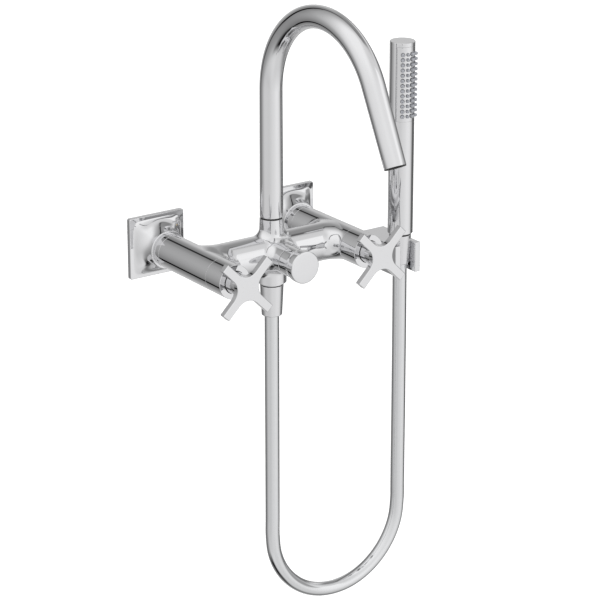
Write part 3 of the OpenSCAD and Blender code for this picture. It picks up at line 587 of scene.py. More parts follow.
# name: (centre, axis, radius, start, end); the limbs run well past the casting's ends
LIMBS = {
    "bar": ((0, BAR_Y, 0), 0, BAR_R, -LEG_X, LEG_X),
    "leg_left": ((-LEG_X, 0, 0), 1, LEG_R, -0.20, 0.10),
    "leg_right": ((LEG_X, 0, 0), 1, LEG_R, -0.20, 0.10),
    "neck": ((0, 0, 0), 1, NECK_R, -0.20, BAR_Y),
    "socket": ((0, BAR_Y, 0), 2, SOCKET_R, 0.0, 0.10),
    "boss": ((0, BAR_Y, 0), 2, BOSS_R, -0.10, 0.0),
}
FILLETS = {"leg_left": 0.013, "leg_right": 0.013, "neck": 0.007, "socket": 0.0065, "boss": 0.005}
FADE = 0.012    # the hollows fade out over this length, up to a leg's middle
print("body: legs r %.4f, bar r %.4f" % (LEG_R, BAR_R))


# %% The rounded union of the limbs
def limb_field(p, key):
    """Distance of points to one limb and the direction away from it."""
    centre, axis, radius, start, end = LIMBS[key]
    q = p - np.array(centre)
    along_axis = q[:, axis].copy()
    q[:, axis] = 0
    dist = np.linalg.norm(q, axis=1) + 1e-12
    away = q / dist[:, None]
    if key == "bar":
        t = np.clip((np.abs(along_axis) - (LEG_X - SWELL)) / SWELL, 0, 1)
        radius = BAR_R + (LEG_R - BAR_R) * t * t * (3 - 2 * t)
    elif key == "socket":
        t = np.clip(along_axis / SOCKET_TOP, 0, 1.5)
        radius = SOCKET_R + (SOCKET_LIP_R - SOCKET_R) * t
    d = dist - radius
    past = np.maximum(start - along_axis, along_axis - end)
    outside = past > d
    if outside.any():
        lengthwise = np.zeros_like(q)
        lengthwise[:, axis] = np.sign(along_axis)
        away = np.where(outside[:, None], lengthwise, away)
        d = np.where(outside, past, d)
    return d, away


def body_field(p):
    """Distance to the union of the limbs, with a round hollow in each corner."""
    d, away = limb_field(p, "bar")
    inward = np.clip((LEG_X + 0.001 - np.abs(p[:, 0])) / FADE, 0, 1)
    inward = inward * inward * (3 - 2 * inward)
    for key, fillet in FILLETS.items():
        e, other = limb_field(p, key)
        meet = np.clip(np.sum(away * other, axis=1), 0, 1)
        r = fillet * inward * np.sqrt(1 - meet * meet) + 1e-6
        ua, ub = np.maximum(r - d, 0), np.maximum(r - e, 0)
        mix = np.sqrt(ua * ua + ub * ub) + 1e-15
        round_d = np.maximum(r, np.minimum(d, e)) - mix
        near = (ua > 0) & (ub > 0)
        a = (away * ua[:, None] + other * ub[:, None]) / mix[:, None]
        nearest = np.where((d < e)[:, None], away, other)
        a = np.where(near[:, None], a, nearest)
        length = np.linalg.norm(a, axis=1)[:, None] + 1e-12
        d, away = np.where(near, round_d, np.minimum(d, e)), a / length
    return d


def body_slope(p, step=2e-5):
    """The direction straight out of the body at each point."""
    g = np.zeros_like(p)
    for k in range(3):
        h = np.zeros(3)
        h[k] = step
        g[:, k] = (body_field(p + h) - body_field(p - h)) / (2 * step)
    return g / (np.linalg.norm(g, axis=1)[:, None] + 1e-12)


def points_of(o):
    p = np.empty(len(o.data.vertices) * 3)
    o.data.vertices.foreach_get("co", p)
    return p.reshape(-1, 3)


def draw_onto_body(o):
    """Moves the points onto the rounded union and returns the worst distance left."""
    p = points_of(o)
    for _ in range(4):
        p = p - body_slope(p) * np.clip(body_field(p), -0.004, 0.004)[:, None] * 0.95
    o.data.vertices.foreach_set("co", p.ravel())
    o.data.update()
    return float(np.abs(body_field(p)).max())


# %% Join the limbs into one skin
def cylinder(centre, axis, radius, start, end):
    at = Vector(centre)
    at[axis] = 0.5 * (start + end)
    turn = [(0, math.pi / 2, 0), (math.pi / 2, 0, 0), (0, 0, 0)][axis]
    deselect()
    bpy.ops.mesh.primitive_cylinder_add(vertices=64, radius=radius, depth=abs(end - start),
                                        location=at, rotation=turn)
    return bpy.context.object


VOXEL = 0.0012
SPARE = 0.003    # length past the later cuts
body = joined([
    cylinder((0, BAR_Y, 0), 0, BAR_R, -LEG_X, LEG_X),
    cylinder((-LEG_X, 0, 0), 1, LEG_R, LEG_BACK + SPARE, BONNET_BACK - SPARE),
    cylinder((LEG_X, 0, 0), 1, LEG_R, LEG_BACK + SPARE, BONNET_BACK - SPARE),
    cylinder((0, 0, 0), 1, NECK_R, BAR_Y, NECK_FRONT - SPARE),
    cylinder((0, BAR_Y, 0), 2, SOCKET_CORE_R, 0.0, SOCKET_TOP + SPARE),
    cylinder((0, BAR_Y, 0), 2, BOSS_R, 0.0, BOSS_FOOT - SPARE),
])
m = body.modifiers.new("one skin", "REMESH")
m.mode = "VOXEL"
m.voxel_size = VOXEL
apply_modifiers(body)
settle(body, "mixer_casting")
draw_onto_body(body)
for _ in range(3):
    m = body.modifiers.new("even", "SMOOTH")
    m.factor = 0.5
    m.iterations = 4
    apply_modifiers(body)
    worst = draw_onto_body(body)
print("casting: %d faces, worst %.4f mm off" % (len(body.data.polygons), worst * 1000))

# %% Cut the casting's ends flat
ENDS = [
    # centre of the end, direction out of it, reach of the cut, width of the broken edge
    ((-LEG_X, BONNET_BACK, 0), OUT, 0.020, 0.00025),
    ((LEG_X, BONNET_BACK, 0), OUT, 0.020, 0.00025),
    ((-LEG_X, LEG_BACK, 0), (0, 1, 0), 0.020, 0.0003),
    ((LEG_X, LEG_BACK, 0), (0, 1, 0), 0.020, 0.0003),
    ((0, NECK_FRONT, 0), OUT, 0.020, 0.0004),
    ((0, BAR_Y, SOCKET_TOP), UP, 0.016, 0.0003),
    ((0, BAR_Y, BOSS_FOOT), (0, 0, -1), 0.018, 0.0010),
]


def select_faces(o, test):
    """Selects the faces whose centre and normal pass the test, in edit mode."""
    bpy.ops.object.mode_set(mode="OBJECT")
    for part in (*o.data.vertices, *o.data.edges):
        part.select = False
    count = 0
    for f in o.data.polygons:
        f.select = bool(test(f.center, f.normal))
        count += f.select
    bpy.ops.object.mode_set(mode="EDIT")
    bpy.ops.mesh.select_mode(type="FACE")
    return count


only(body)
for centre, out_of, reach, edge in ENDS:
    c, d = Vector(centre), Vector(out_of)
    select_faces(body, lambda at, way: (at - c).dot(d) > -0.004
                 and ((at - c) - (at - c).dot(d) * d).length < reach)
    bpy.ops.mesh.bisect(plane_co=c, plane_no=d, use_fill=True, clear_outer=True)
    select_faces(body, lambda at, way: abs((at - c).dot(d)) < 1e-5 and way.dot(d) > 0.99)
    bpy.ops.mesh.region_to_loop()
    bpy.ops.mesh.bevel(offset=edge, segments=3, profile=0.5, clamp_overlap=True)
close_edit()
smooth(body, 40, weighted=False)


# %% Give the casting its true normals
def true_normals(o, degrees=25):
    """Corners whose face lies along the rounded union get the union's own normal."""
    mesh = o.data
    slope = body_slope(points_of(o))
    normals = []
    limit = math.cos(math.radians(degrees))
    corner = [tuple(n.vector) for n in mesh.corner_normals]
    for f in mesh.polygons:
        flat_end = len(f.vertices) > 8    # only the cut ends have so many corners
        for i in f.loop_indices:
            g = Vector(slope[mesh.loops[i].vertex_index])
            if flat_end:
                normals.append(tuple(f.normal))
            elif g.dot(f.normal) > limit:
                normals.append(tuple(g))
            else:
                normals.append(corner[i])
    mesh.normals_split_custom_set(normals)
    mesh.update()


true_normals(body)
dress(body, "mixer", "chrome", "mixer_body")
print("casting: %d corners" % len(body.data.loops))

# %% [markdown]
# ## The wall plates
# Each plate covers the hole in the tiles and the union behind it. It is drawn from
# thick sheet: a flat square rim, then a hollow flare that turns from a square into a
# round collar. A ring of points is added and extruded ring by ring, and each ring is
# set on its own outline between the square and the circle.

# %% Model one wall plate
PLATE_HALF = half_width("wall_plate_right")
COLLAR_OUT = -low("wall_plate_right")[1]
COLLAR_R = LEG_R + 0.0022
COLLAR_FIT = 0.00005
COLLAR_EDGE = 0.0008
RIM_OUT, RIM_EDGE, CORNER = 0.0046, 0.0006, 0.0015
FLARE_HALF, FLARE_FORM = PLATE_HALF - 0.0032, 9
FLARE_STEPS = 30
RING_POINTS = 160


def outline(form, half):
    """A ring of points between a circle (form 2) and a square (a high form)."""
    ring = []
    for i in range(RING_POINTS):
        a = 2 * math.pi * (i + 0.5) / RING_POINTS
        c, s = abs(math.cos(a)), abs(math.sin(a))
        r = half / (c ** form + s ** form) ** (1 / form)
        ring.append((r * math.cos(a), r * math.sin(a)))
    return ring


def between(inner, outer, k):
    return [(p[0] + (q[0] - p[0]) * k, p[1] + (q[1] - p[1]) * k) for p, q in zip(inner, outer)]


def circle(radius):
    return outline(2, radius)


def square(half):
    """A square with round corners, as a ring at the same angles."""
    ring, inner = [], half - CORNER
    for i in range(RING_POINTS):
        a = 2 * math.pi * (i + 0.5) / RING_POINTS
        c, s = math.cos(a), math.sin(a)
        r = half / max(abs(c), abs(s))
        x, y = r * c, r * s
        bx, by = abs(x) - inner, abs(y) - inner
        if bx > 0 and by > 0:
            k = min(1.0, CORNER / math.hypot(bx, by))
            x = math.copysign(inner + bx * k, x)
            y = math.copysign(inner + by * k, y)
        ring.append((x, y))
    return ring


def stack(name, rings, at_x):
    """rings: (ring of points, distance out of the wall); the last ring joins the first."""
    deselect()
    bpy.ops.mesh.primitive_circle_add(vertices=RING_POINTS, radius=PLATE_HALF,
                                      fill_type="NOTHING", location=(at_x, 0, 0),
                                      rotation=(math.pi / 2, 0, 0))
    o = settle(bpy.context.object, name)
    edit_all(o)
    for _ in rings:
        bpy.ops.mesh.extrude_region_move(TRANSFORM_OT_translate={"value": (0, -0.001, 0)})
    bpy.ops.object.mode_set(mode="OBJECT")
    loops = rings + rings[:1]
    for n, v in enumerate(o.data.vertices):
        ring, out_y = loops[n // RING_POINTS]
        x, z = ring[n % RING_POINTS]
        v.co = (at_x + x, -out_y, z)
    edit_all(o)
    close_edit(merge=1e-6)
    return o


def round_edge(form, size, out, edge):
    """Four rings that round the front edge of a form."""
    rings = []
    for i in range(1, 5):
        t = math.radians(90 * i / 4)
        rings.append((form(size - edge * (1 - math.cos(t))), out - edge + edge * math.sin(t)))
    return rings


def plate(name, at_x):
    collar, foot = circle(COLLAR_R), outline(FLARE_FORM, FLARE_HALF)
    rings = [(square(PLATE_HALF), 0.0), (square(PLATE_HALF), RIM_OUT - RIM_EDGE)]
    rings += round_edge(square, PLATE_HALF, RIM_OUT, RIM_EDGE)
    for i in range(FLARE_STEPS + 1):
        k = i / FLARE_STEPS
        # the square gives way to the collar fast, and the flare rises slowly at first
        rise = RIM_OUT + (COLLAR_OUT - COLLAR_EDGE - RIM_OUT) * k ** 1.35
        rings.append((between(collar, foot, (1 - k) ** 2.2), rise))
    rings += round_edge(circle, COLLAR_R, COLLAR_OUT, COLLAR_EDGE)
    bore = circle(LEG_R + COLLAR_FIT)
    rings += [(bore, COLLAR_OUT), (bore, 0.0)]
    return smooth(stack(name, rings, at_x), 28)


for side, at_x in SIDES:
    dress(plate("wall_cover_" + side, at_x), "mixer", "chrome", "wall_plate_" + side)
print("plates: %.1f mm square, collar r %.1f mm" % (2000 * PLATE_HALF, 1000 * COLLAR_R))

# %% Turn the fine seams on the legs, in front of the plates
SEAM, SEAM_ROOT = 0.00013, LEG_R - 0.0020
SEAM_START, SEAM_END = COLLAR_OUT + 0.0078, COLLAR_OUT + 0.0083
for side, at_x in SIDES:
    profile = [(SEAM_ROOT, SEAM_START)]
    profile += arc(LEG_R, SEAM_START, LEG_R + SEAM, SEAM_START + SEAM, steps=3)
    profile += arc(LEG_R + SEAM, SEAM_END - SEAM, LEG_R, SEAM_END, out=False, steps=3)
    profile += [(SEAM_ROOT, SEAM_END)]
    seam = turned("leg_seam_" + side, (at_x, 0, 0), OUT, profile, closed=True)
    dress(seam, "mixer", "chrome")

# %% [markdown]
# ## The valve covers
# In front of each leg a turned ring screws down over the ceramic cartridge. Its back
# edge is broken by a hair, so a fine line shows where it meets the leg, and its
# front edge is just rounded. A black ring seals the spindle hole.

# %% Turn the valve covers
COVER_BORE, RECESS_R, RECESS = 0.0104, 0.0110, 0.0015
RING_BORE, RING_R = 0.0090, 0.0109


def valve_cover(name, at_x):
    e, c = 0.00025, 0.0004          # the broken back edge and the rounded front edge
    back, front, r = -BONNET_BACK, -BONNET_FRONT, LEG_R
    profile = [(COVER_BORE, back + 0.002), (COVER_BORE, back)]
    profile += arc(r - e, back, r, back + e, steps=3)
    profile += arc(r, front - c, r - c, front, out=False, steps=4)
    profile += [(RECESS_R, front), (RECESS_R, front - RECESS), (COVER_BORE, front - RECESS)]
    return turned(name, (at_x, 0, 0), OUT, profile, closed=True, degrees=28)


def spindle_ring(name, at_x):
    front = -BONNET_FRONT
    profile = [(RING_BORE, front - RECESS), (RING_R, front - RECESS), (RING_R, front - 0.0004),
               (RING_R - 0.0003, front - 0.0002), (RING_BORE, front - 0.0002)]
    return turned(name, (at_x, 0, 0), OUT, profile, closed=True)


for side, at_x in SIDES:
    dress(valve_cover("valve_cover_" + side, at_x), "mixer", "chrome", "bonnet_" + side)
    dress(spindle_ring("spindle_ring_" + side, at_x), "mixer", "seal_rubber")

# %% [markdown]
# ## The cross handles
# A handle is a flat cross on a round hub, turned 45 degrees so that it reads as an
# X. The four arms run into each other in round hollows. A square is added, its sides
# are extruded into arms, the inner corners are bevelled into the hollows, and the
# sheet is thickened and its edges softened.

# %% Model one cross
ARM_REACH, ARM_WIDTH, ARM_FILLET = 0.0336, 0.0083, 0.0133
CROSS_BACK, CROSS_FRONT = -0.1513, low("handle_right")[1]
CROSS_EDGE = 0.0007
HUB_R, HUB_BORE, HUB_EDGE, HUB_BACK = 0.0104, 0.0079, 0.0005, high("handle_right")[1]


def bevelled(o, width, segments, limit=None):
    """Breaks a piece's edges; with a limit only those that turn by more degrees."""
    m = o.modifiers.new("soft edges", "BEVEL")
    m.width = width
    m.segments = segments
    m.limit_method = "ANGLE"
    if limit:
        m.angle_limit = math.radians(limit)
    apply_modifiers(o)


def cross(name, at_x):
    deselect()
    bpy.ops.mesh.primitive_plane_add(size=ARM_WIDTH, location=(0, 0, 0))
    o = bpy.context.object
    half = ARM_WIDTH / 2
    for way in ((1, 0, 0), (-1, 0, 0), (0, 1, 0), (0, -1, 0)):
        d = Vector(way)
        bpy.ops.object.mode_set(mode="OBJECT")
        for part in (*o.data.polygons, *o.data.vertices):
            part.select = False
        for e in o.data.edges:
            ends = [o.data.vertices[i] for i in e.vertices]
            e.select = ((ends[0].co + ends[1].co) / 2 - d * half).length < 1e-6
            if e.select:
                for v in ends:
                    v.select = True
        bpy.ops.object.mode_set(mode="EDIT")
        bpy.ops.mesh.select_mode(type="EDGE")
        bpy.ops.mesh.extrude_region_move(
            TRANSFORM_OT_translate={"value": d * (ARM_REACH - half)})
    bpy.ops.mesh.select_mode(type="VERT")
    bpy.ops.mesh.select_all(action="DESELECT")
    bpy.ops.object.mode_set(mode="OBJECT")
    for v in o.data.vertices:
        v.select = abs(abs(v.co.x) - half) < 1e-6 and abs(abs(v.co.y) - half) < 1e-6
    bpy.ops.object.mode_set(mode="EDIT")
    bpy.ops.mesh.bevel(offset=ARM_FILLET, segments=14, profile=0.5, affect="VERTICES",
                       clamp_overlap=False)
    bpy.ops.mesh.select_all(action="SELECT")
    bpy.ops.mesh.dissolve_limited(angle_limit=math.radians(0.2))
    bpy.ops.mesh.select_all(action="SELECT")
    bpy.ops.mesh.extrude_region_move(
        TRANSFORM_OT_translate={"value": (0, 0, abs(CROSS_FRONT - CROSS_BACK))})
    close_edit()
    bevelled(o, CROSS_EDGE, 4, 50)
    # local X, Y in the plane of the cross, local Z out of the wall
    o.rotation_euler = (math.pi / 2, math.radians(45), 0)
    o.location = (at_x, CROSS_BACK, 0)
    return settle(o, name)


def hub(name, at_x):
    back, front, e = -HUB_BACK, -CROSS_BACK + 0.0004, HUB_EDGE
    profile = [(HUB_BORE, back + 0.004), (HUB_BORE, back)]
    profile += arc(HUB_R - e, back, HUB_R, back + e, steps=3)
    profile += [(HUB_R, front), (HUB_BORE, front)]
    return turned(name, (at_x, 0, 0), OUT, profile, closed=True)


for side, at_x in SIDES:
    o = cross("cross_" + side, at_x)
    h = hub("hub_" + side, at_x)
    o = joined([smooth(o, 40), h])
    o.name = o.data.name = "cross_handle_" + side
    dress(o, side + "_handle", "chrome", "handle_" + side)

# %% [markdown]
# ## The diverter knob
# The knob pulls the diverter towards the user and sends the water to the hose. It is
# a plain barrel that opens to a slightly domed disc, turned in one piece. A black ring
# and a bright guide washer close the neck behind it, and show when it is pulled.

# %% Turn the diverter knob
back, front = -high("diverter_knob")[1], -low("diverter_knob")[1]
r = half_width("diverter_knob")
RING_IN, RING_OUT = 0.0122, 0.0133
profile = [(RING_IN, back)] + arc(NECK_R - 0.0004, back, NECK_R, back + 0.0004, steps=3)
profile += [(NECK_R, back + 0.0105), (NECK_R + 0.0002, back + 0.0120),
            (r - 0.0002, back + 0.0152), (r, back + 0.0166)]
profile += arc(r, front - 0.0012, r - 0.0011, front - 0.0002, out=False, steps=5)
profile += [(r * 0.8, front - 0.0001), (r * 0.5, front - 0.00003), (r * 0.25, front)]
knob = turned("pull_knob", (0, 0, 0), OUT, profile, degrees=30)
dress(knob, "diverter", "chrome", "diverter_knob")

# %% Close the neck behind the knob
GUIDE_BORE = half_width("diverter_stem") + 0.0004


def band(name, at, inner, outer, start, end, axis=UP):
    """A plain ring with a square section."""
    return turned(name, at, axis, [(inner, start), (outer, start), (outer, end), (inner, end)],
                  closed=True)


mouth = -NECK_FRONT - 0.0003
ring = band("knob_ring", (0, 0, 0), RING_IN, RING_OUT, mouth, back - 0.0001, axis=OUT)
dress(ring, "mixer", "seal_rubber")
guide = band("neck_guide", (0, 0, 0), GUIDE_BORE, RING_IN, mouth, back - 0.00015, axis=OUT)
dress(guide, "mixer", "chrome")

# %% [markdown]
# ## The spout
# The spout is one thin tube, bent on a mandrel into a round bow whose nose leans
# forward. It tapers very slightly towards its end. The tube is swept along its
# centre line, so its rings stay square to the line, and its end is cut clean with
# the wall showing round the aerator.

# %% The spout's centre line
SPOUT_FOOT = low("spout_washer")[2] + 0.0011
BEND_START, BEND_R = 0.157, 0.0825
LEAN = math.radians(26.4)
NOSE = 0.072
SPOUT_R, FOOT_R, NOSE_TAPER = 0.0106, 0.01095, 0.00062


def spout_point(length):
    """Centre, direction and radius at a length along the spout."""
    rise = BEND_START - SPOUT_FOOT
    bow = BEND_R * (math.pi - LEAN)
    if length <= rise:
        k = length / rise
        return (Vector((0, BAR_Y, SPOUT_FOOT + length)), Vector(UP),
                FOOT_R + (SPOUT_R - FOOT_R) * k)
    a = min(length - rise, bow) / BEND_R
    d = Vector((0, -math.sin(a), math.cos(a)))
    p = Vector((0, BAR_Y - BEND_R * (1 - math.cos(a)), BEND_START + BEND_R * math.sin(a)))
    past_bow = max(length - rise - bow, 0.0)
    return p + d * past_bow, d, SPOUT_R - NOSE_TAPER * past_bow / NOSE


SPOUT_LEN = BEND_START - SPOUT_FOOT + BEND_R * (math.pi - LEAN) + NOSE
print("spout: %.3f m along its centre" % SPOUT_LEN)


# %% Sweep the spout
WALL, STEPS = 0.0013, 110
# a station is a length along the spout and what is added to its radius there
stations = [(0.0, -0.0005), (0.00025, -0.00015), (0.0005, 0.0)]
stations += [(0.0005 + (SPOUT_LEN - 0.0009) * i / STEPS, 0.0) for i in range(1, STEPS + 1)]
stations += [(SPOUT_LEN - 0.00015, -0.0001), (SPOUT_LEN, -0.0004)]
# the last two turn into the tube and make its wall
stations += [(SPOUT_LEN, -WALL), (SPOUT_LEN - 0.010, -WALL)]
across = Vector((1, 0, 0))
rings = []
for length, more in stations:
    p, d, r = spout_point(length)
    rings.append((p, r + more, across, d.cross(across)))
spout = smooth(tube_of_rings("bow_spout", rings, 72), 35)
dress(spout, "spout", "chrome", "spout_tube")

# %% The dark lip round the spout's end
LIP_BORE = 0.0060
tip, nose_down, tip_r = spout_point(SPOUT_LEN)
lip = turned("spout_lip", tip, nose_down,
             [(LIP_BORE, -0.0006), (tip_r - 0.0005, -0.0006), (tip_r - 0.0005, 0.0001),
              (tip_r - 0.0001, 0.0002), (tip_r - 0.0002, 0.0004), (LIP_BORE, 0.0003)],
             closed=True)
dress(lip, "spout", "seal_rubber")

# %% The dark line under the spout
SWIVEL_R = 0.0101
swivel = band("swivel_ring", (0, BAR_Y, 0), LIP_BORE, SWIVEL_R,
              SOCKET_TOP - 0.0002, SPOUT_FOOT + 0.0002)
dress(swivel, "spout", "seal_rubber", "spout_washer")

# %% [markdown]
# ## Nuts and collars
# The hose is held by a long tapered nut under the bar and a conical nut under the
# hand shower, which also rests in the fork. Both are turned, with edges just
# rounded, and a thin black band in the groove at each joint is painted shade.

# %% Turn the nuts
def nut(name, x, node, top_r, foot_r, bore, body_name):
    top, foot = high(node)[2], low(node)[2]
    e = 0.0006
    taper = (top_r - foot_r) / (top - foot)
    profile = [(bore, top)] + arc(top_r - e, top, top_r - e * taper, top - e, steps=4)
    profile += arc(foot_r + 2 * e * taper, foot + 1.6 * e, foot_r - 1.4 * e, foot,
                   out=False, steps=5)
    profile += [(bore, foot)]
    o = turned(name, (x, BAR_Y, 0), UP, profile, closed=True, degrees=30)
    dress(o, body_name, "chrome", node)


nut("hose_nut_shell", 0, "hose_nut", top_r=0.0112, foot_r=0.0097, bore=HOSE_R + 0.0002,
    body_name="mixer")
nut("cone_nut_shell", SHOWER_X, "cone_nut", top_r=0.0108, foot_r=0.0086, bore=HOSE_R + 0.0004,
    body_name="hose_end")

# %% Turn the collar over the hose nut
COLLAR_BORE, OUTLET_R, OUTLET_FOOT = 0.0064, 0.0113, BOSS_FOOT - 0.0020
profile = [(COLLAR_BORE, BOSS_FOOT), (OUTLET_R, BOSS_FOOT)]
profile += arc(OUTLET_R, BOSS_FOOT - 0.0016, OUTLET_R - 0.0004, OUTLET_FOOT, out=False, steps=3)
profile += [(COLLAR_BORE, OUTLET_FOOT)]
collar = turned("outlet_collar", (0, BAR_Y, 0), UP, profile, closed=True, degrees=30)
dress(collar, "mixer", "chrome", "hose_nipple")

# %% Turn the black bands that paint the shade in the grooves at the joints
GROOVE_SHADE_BORE, OUTLET_GROOVE_SHADE_R, FOOT_GROOVE_SHADE_R = 0.0070, 0.0105, 0.0100
# a black band in the groove under the outlet collar: painted shade where the parts meet
groove_shade_band = band("outlet_groove_shade", (0, BAR_Y, 0), GROOVE_SHADE_BORE, OUTLET_GROOVE_SHADE_R,
              BOSS_FOOT - 0.0021, high("hose_nut")[2] + 0.0001)
dress(groove_shade_band, "mixer", "seal_rubber")
# a black band in the groove under the hand shower: painted shade where the parts meet
groove_shade_band = band("foot_groove_shade", (SHOWER_X, BAR_Y, 0), GROOVE_SHADE_BORE, FOOT_GROOVE_SHADE_R,
              high("cone_nut")[2] - 0.0002, low("handset_tube")[2] + 0.0002)
dress(groove_shade_band, "hose_end", "seal_rubber")

# %% [markdown]
# ## The hand shower
# The hand shower is a straight tube with a flat cap. A curved strip, flush with the
# tube, carries thirteen rows of four soft nozzles, and a hairline gap runs round it.

# %% Turn the tube
TUBE_R = half_width("handset_tube") + 0.0003
TUBE_FOOT = low("handset_tube")[2]
CAP_BASE, CAP_TOP = high("handset_tube")[2] - 0.0010, high("handset_cap")[2] + 0.0009
STRIP_FOOT, STRIP_TOP = low("spray_strip")[2], CAP_BASE - 0.00005
print("tube r %.5f, strip %.4f to %.4f" % (TUBE_R, STRIP_FOOT, STRIP_TOP))
TUBE_EDGE, TUBE_BORE, CAP_BORE = 0.0005, 0.0098, 0.0090
profile = [(TUBE_BORE, TUBE_FOOT)]
profile += arc(TUBE_R - TUBE_EDGE, TUBE_FOOT, TUBE_R, TUBE_FOOT + TUBE_EDGE, steps=4)
profile += [(TUBE_R, STRIP_FOOT - 0.0004), (TUBE_R, 0.5 * (STRIP_FOOT + STRIP_TOP)),
            (TUBE_R, CAP_BASE - 0.0001), (TUBE_R - 0.0001, CAP_BASE), (TUBE_BORE, CAP_BASE)]
shower_at = Vector((SHOWER_X, SHOWER_Y, 0))
tube = turned("shower_tube", shower_at, UP, profile, sides=180, closed=True)

# %% Cut the opening for the strip
OPENING_HALF = math.radians(61)


def in_opening(at, way):
    """True on the tube's outer skin where the strip will lie."""
    q = at - shower_at
    return (q.z > STRIP_FOOT and q.y < 0 and abs(math.atan2(q.x, -q.y)) < OPENING_HALF
            and math.hypot(q.x, q.y) > TUBE_R - 0.0004 and q.z < CAP_BASE + 1e-5)


edit_all(tube)
bpy.ops.mesh.bisect(plane_co=(0, 0, STRIP_FOOT), plane_no=UP)
for side in (-1, 1):
    edge = Vector((side * math.sin(OPENING_HALF), -math.cos(OPENING_HALF), 0))
    select_faces(tube, lambda at, way: at.z > STRIP_FOOT - 1e-5
                 and (at - shower_at).dot(edge) > 0.004)
    bpy.ops.mesh.bisect(plane_co=shower_at, plane_no=(-edge.y, edge.x, 0))
opened = select_faces(tube, in_opening)
bpy.ops.mesh.delete(type="FACE")
bpy.ops.object.mode_set(mode="OBJECT")
dress(smooth(tube, 30), "hand_shower", "chrome", "handset_tube")
print("strip opening: %d faces removed" % opened)

# %% Turn the cap
profile = [(CAP_BORE, CAP_BASE - 0.003), (CAP_BORE, CAP_BASE), (TUBE_R - 0.0001, CAP_BASE),
           (TUBE_R, CAP_BASE + 0.0001)]
profile += arc(TUBE_R, CAP_TOP - TUBE_EDGE, TUBE_R - TUBE_EDGE, CAP_TOP, out=False, steps=4)
dress(turned("shower_cap", shower_at, UP, profile), "hand_shower", "chrome", "handset_cap")

# %% [markdown]
# ## The spray strip and its nozzles
# The real strip has one hole for each nozzle, and the soft nozzles stand out of it a
# little, so that lime can be rubbed off with a thumb. Here the strip is a whole curved
# sheet, and a black ring round each nozzle is painted shade for the gap at the edge of
# its hole. One nozzle is turned, copied with its own mesh into every place and joined
# into one piece.

# %% Bend the strip
STRIP_HALF, STRIP_WALL, STRIP_EDGE = math.radians(60.7), 0.0012, 0.00015
deselect()
bpy.ops.mesh.primitive_grid_add(x_subdivisions=60, y_subdivisions=30, size=2)
strip = bpy.context.object
for v in strip.data.vertices:
    a = v.co.x * STRIP_HALF
    z = 0.5 * (STRIP_FOOT + STRIP_TOP) + v.co.y * 0.5 * (STRIP_TOP - STRIP_FOOT)
    v.co = (SHOWER_X + TUBE_R * math.sin(a), SHOWER_Y - TUBE_R * math.cos(a), z)
m = strip.modifiers.new("wall", "SOLIDIFY")
m.thickness = STRIP_WALL
m.offset = -1 if strip.data.polygons[0].normal.y < 0 else 1
bevelled(strip, STRIP_EDGE, 2)
edit_all(strip)
close_edit()
smooth(settle(strip, "spray_face"), 30)
dress(strip, "hand_shower", "chrome", "spray_strip")

# %% Turn one nozzle and copy it
ROWS, PITCH, TOP_ROW = 13, 0.005, CAP_TOP - 0.0110
COLUMNS, STEP = (-1.5, -0.5, 0.5, 1.5), math.radians(23)
FINE_COLUMN, FINE = -0.5, 0.8    # one column is finer than the rest


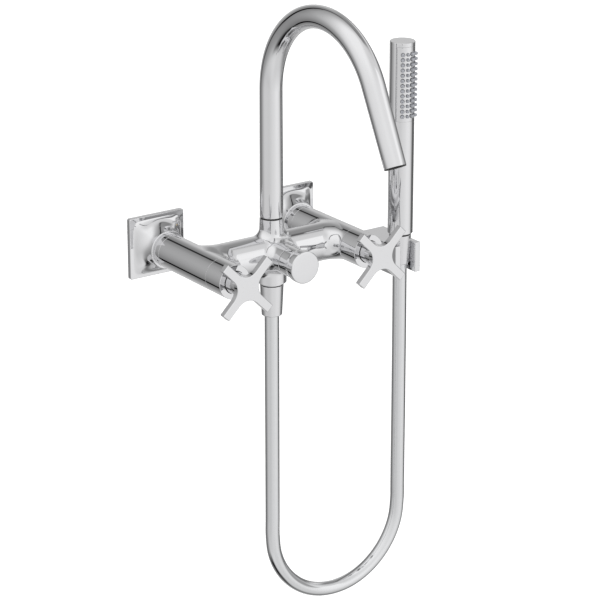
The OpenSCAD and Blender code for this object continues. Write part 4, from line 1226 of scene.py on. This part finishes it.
def studs(name, stations, slot, node=None):
    """A small turned form, copied into every place of the nozzle field."""
    deselect()
    r, at = stations[0]
    bpy.ops.mesh.primitive_circle_add(vertices=14, radius=r, fill_type="NGON",
                                      location=(at, 0, 0), rotation=(0, math.pi / 2, 0))
    o = bpy.context.object
    edit_all(o)
    for r2, a2 in stations[1:]:
        bpy.ops.mesh.extrude_region_move(TRANSFORM_OT_translate={"value": (a2 - at, 0, 0)})
        k = r2 / r
        bpy.ops.transform.resize(value=(k, k, k), center_override=(a2, 0, 0))
        r, at = r2, a2
    close_edit()
    first = settle(o, "stud")
    copies = []
    for row in range(ROWS):
        for column in COLUMNS:
            c = first.copy()
            c.data = first.data.copy()
            scene.collection.objects.link(c)
            c.location = (SHOWER_X, SHOWER_Y, TOP_ROW - row * PITCH)
            c.rotation_euler = (0, 0, -math.pi / 2 + column * STEP)
            if column == FINE_COLUMN:
                c.scale = (1, FINE, FINE)
            copies.append(c)
    bpy.data.objects.remove(first)
    print("%s: %d copies" % (name, len(copies)))
    dress(smooth(settle(joined(copies), name), 40, weighted=False), "hand_shower", slot, node)


NOZZLE_R, NOZZLE_TIP = 0.0018, 0.0150
HOLE_SHADE_R, HOLE_SHADE_BORE = 0.0021, 0.0016
r, skin, end = NOZZLE_R, TUBE_R, NOZZLE_TIP
studs("soft_nozzles",
      [(r, skin - 0.0006), (r, skin + 0.0002), (r * 0.95, skin + 0.0008),
       (r * 0.84, end - 0.0005), (r * 0.72, end - 0.0001), (r * 0.60, end),
       (r * 0.20, end), (r * 0.20, end - 0.0006)], "nozzle_rubber", "spray_nozzles")
# black rings round the nozzles: painted shade in the gap at the edge of each hole
studs("nozzle_hole_shade",
      [(HOLE_SHADE_R, skin - 0.0008), (HOLE_SHADE_R, skin + 0.0001), (HOLE_SHADE_BORE, skin + 0.0001)],
      "seal_rubber")

# %% [markdown]
# ## The fork and its arm
# The hand shower hangs in a block with an open slot: its conical nut drops into a
# seat, and the slot lets the hose pass when it is lifted out. A bent arm carries the
# block from the flank of the right leg. The solids already have the right forms, so
# a merged copy of each takes the solid's place, and the block's edges are softened.

# %% Copy two solids and soften the block
BLOCK_EDGE = 0.0006


def copied(name, node, width=0.0):
    source = frame["nodes"][node]
    o = source.copy()
    o.data = source.data.copy()
    o.parent = None
    scene.collection.objects.link(o)
    o.matrix_world = source.matrix_world
    edit_all(o)
    bpy.ops.mesh.remove_doubles(threshold=1e-6)
    bpy.ops.mesh.dissolve_limited(angle_limit=math.radians(0.5))
    close_edit()
    if width:
        bevelled(o, width, 3, 50)
    dress(smooth(settle(o, name), 35), "mixer", "chrome", node)


copied("holder_block", "holder_fork", BLOCK_EDGE)
copied("holder_bow", "holder_arm")

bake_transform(hose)

# %% Finish
new_box = [[float(v) for v in corner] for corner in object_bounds()]
for k in range(3):
    a = cad_box[1][k] - cad_box[0][k]
    b = new_box[1][k] - new_box[0][k]
    print("side %s: CAD %.4f, visual %.4f, %+.2f%%" % ("XYZ"[k], a, b, 100 * (b / a - 1)))
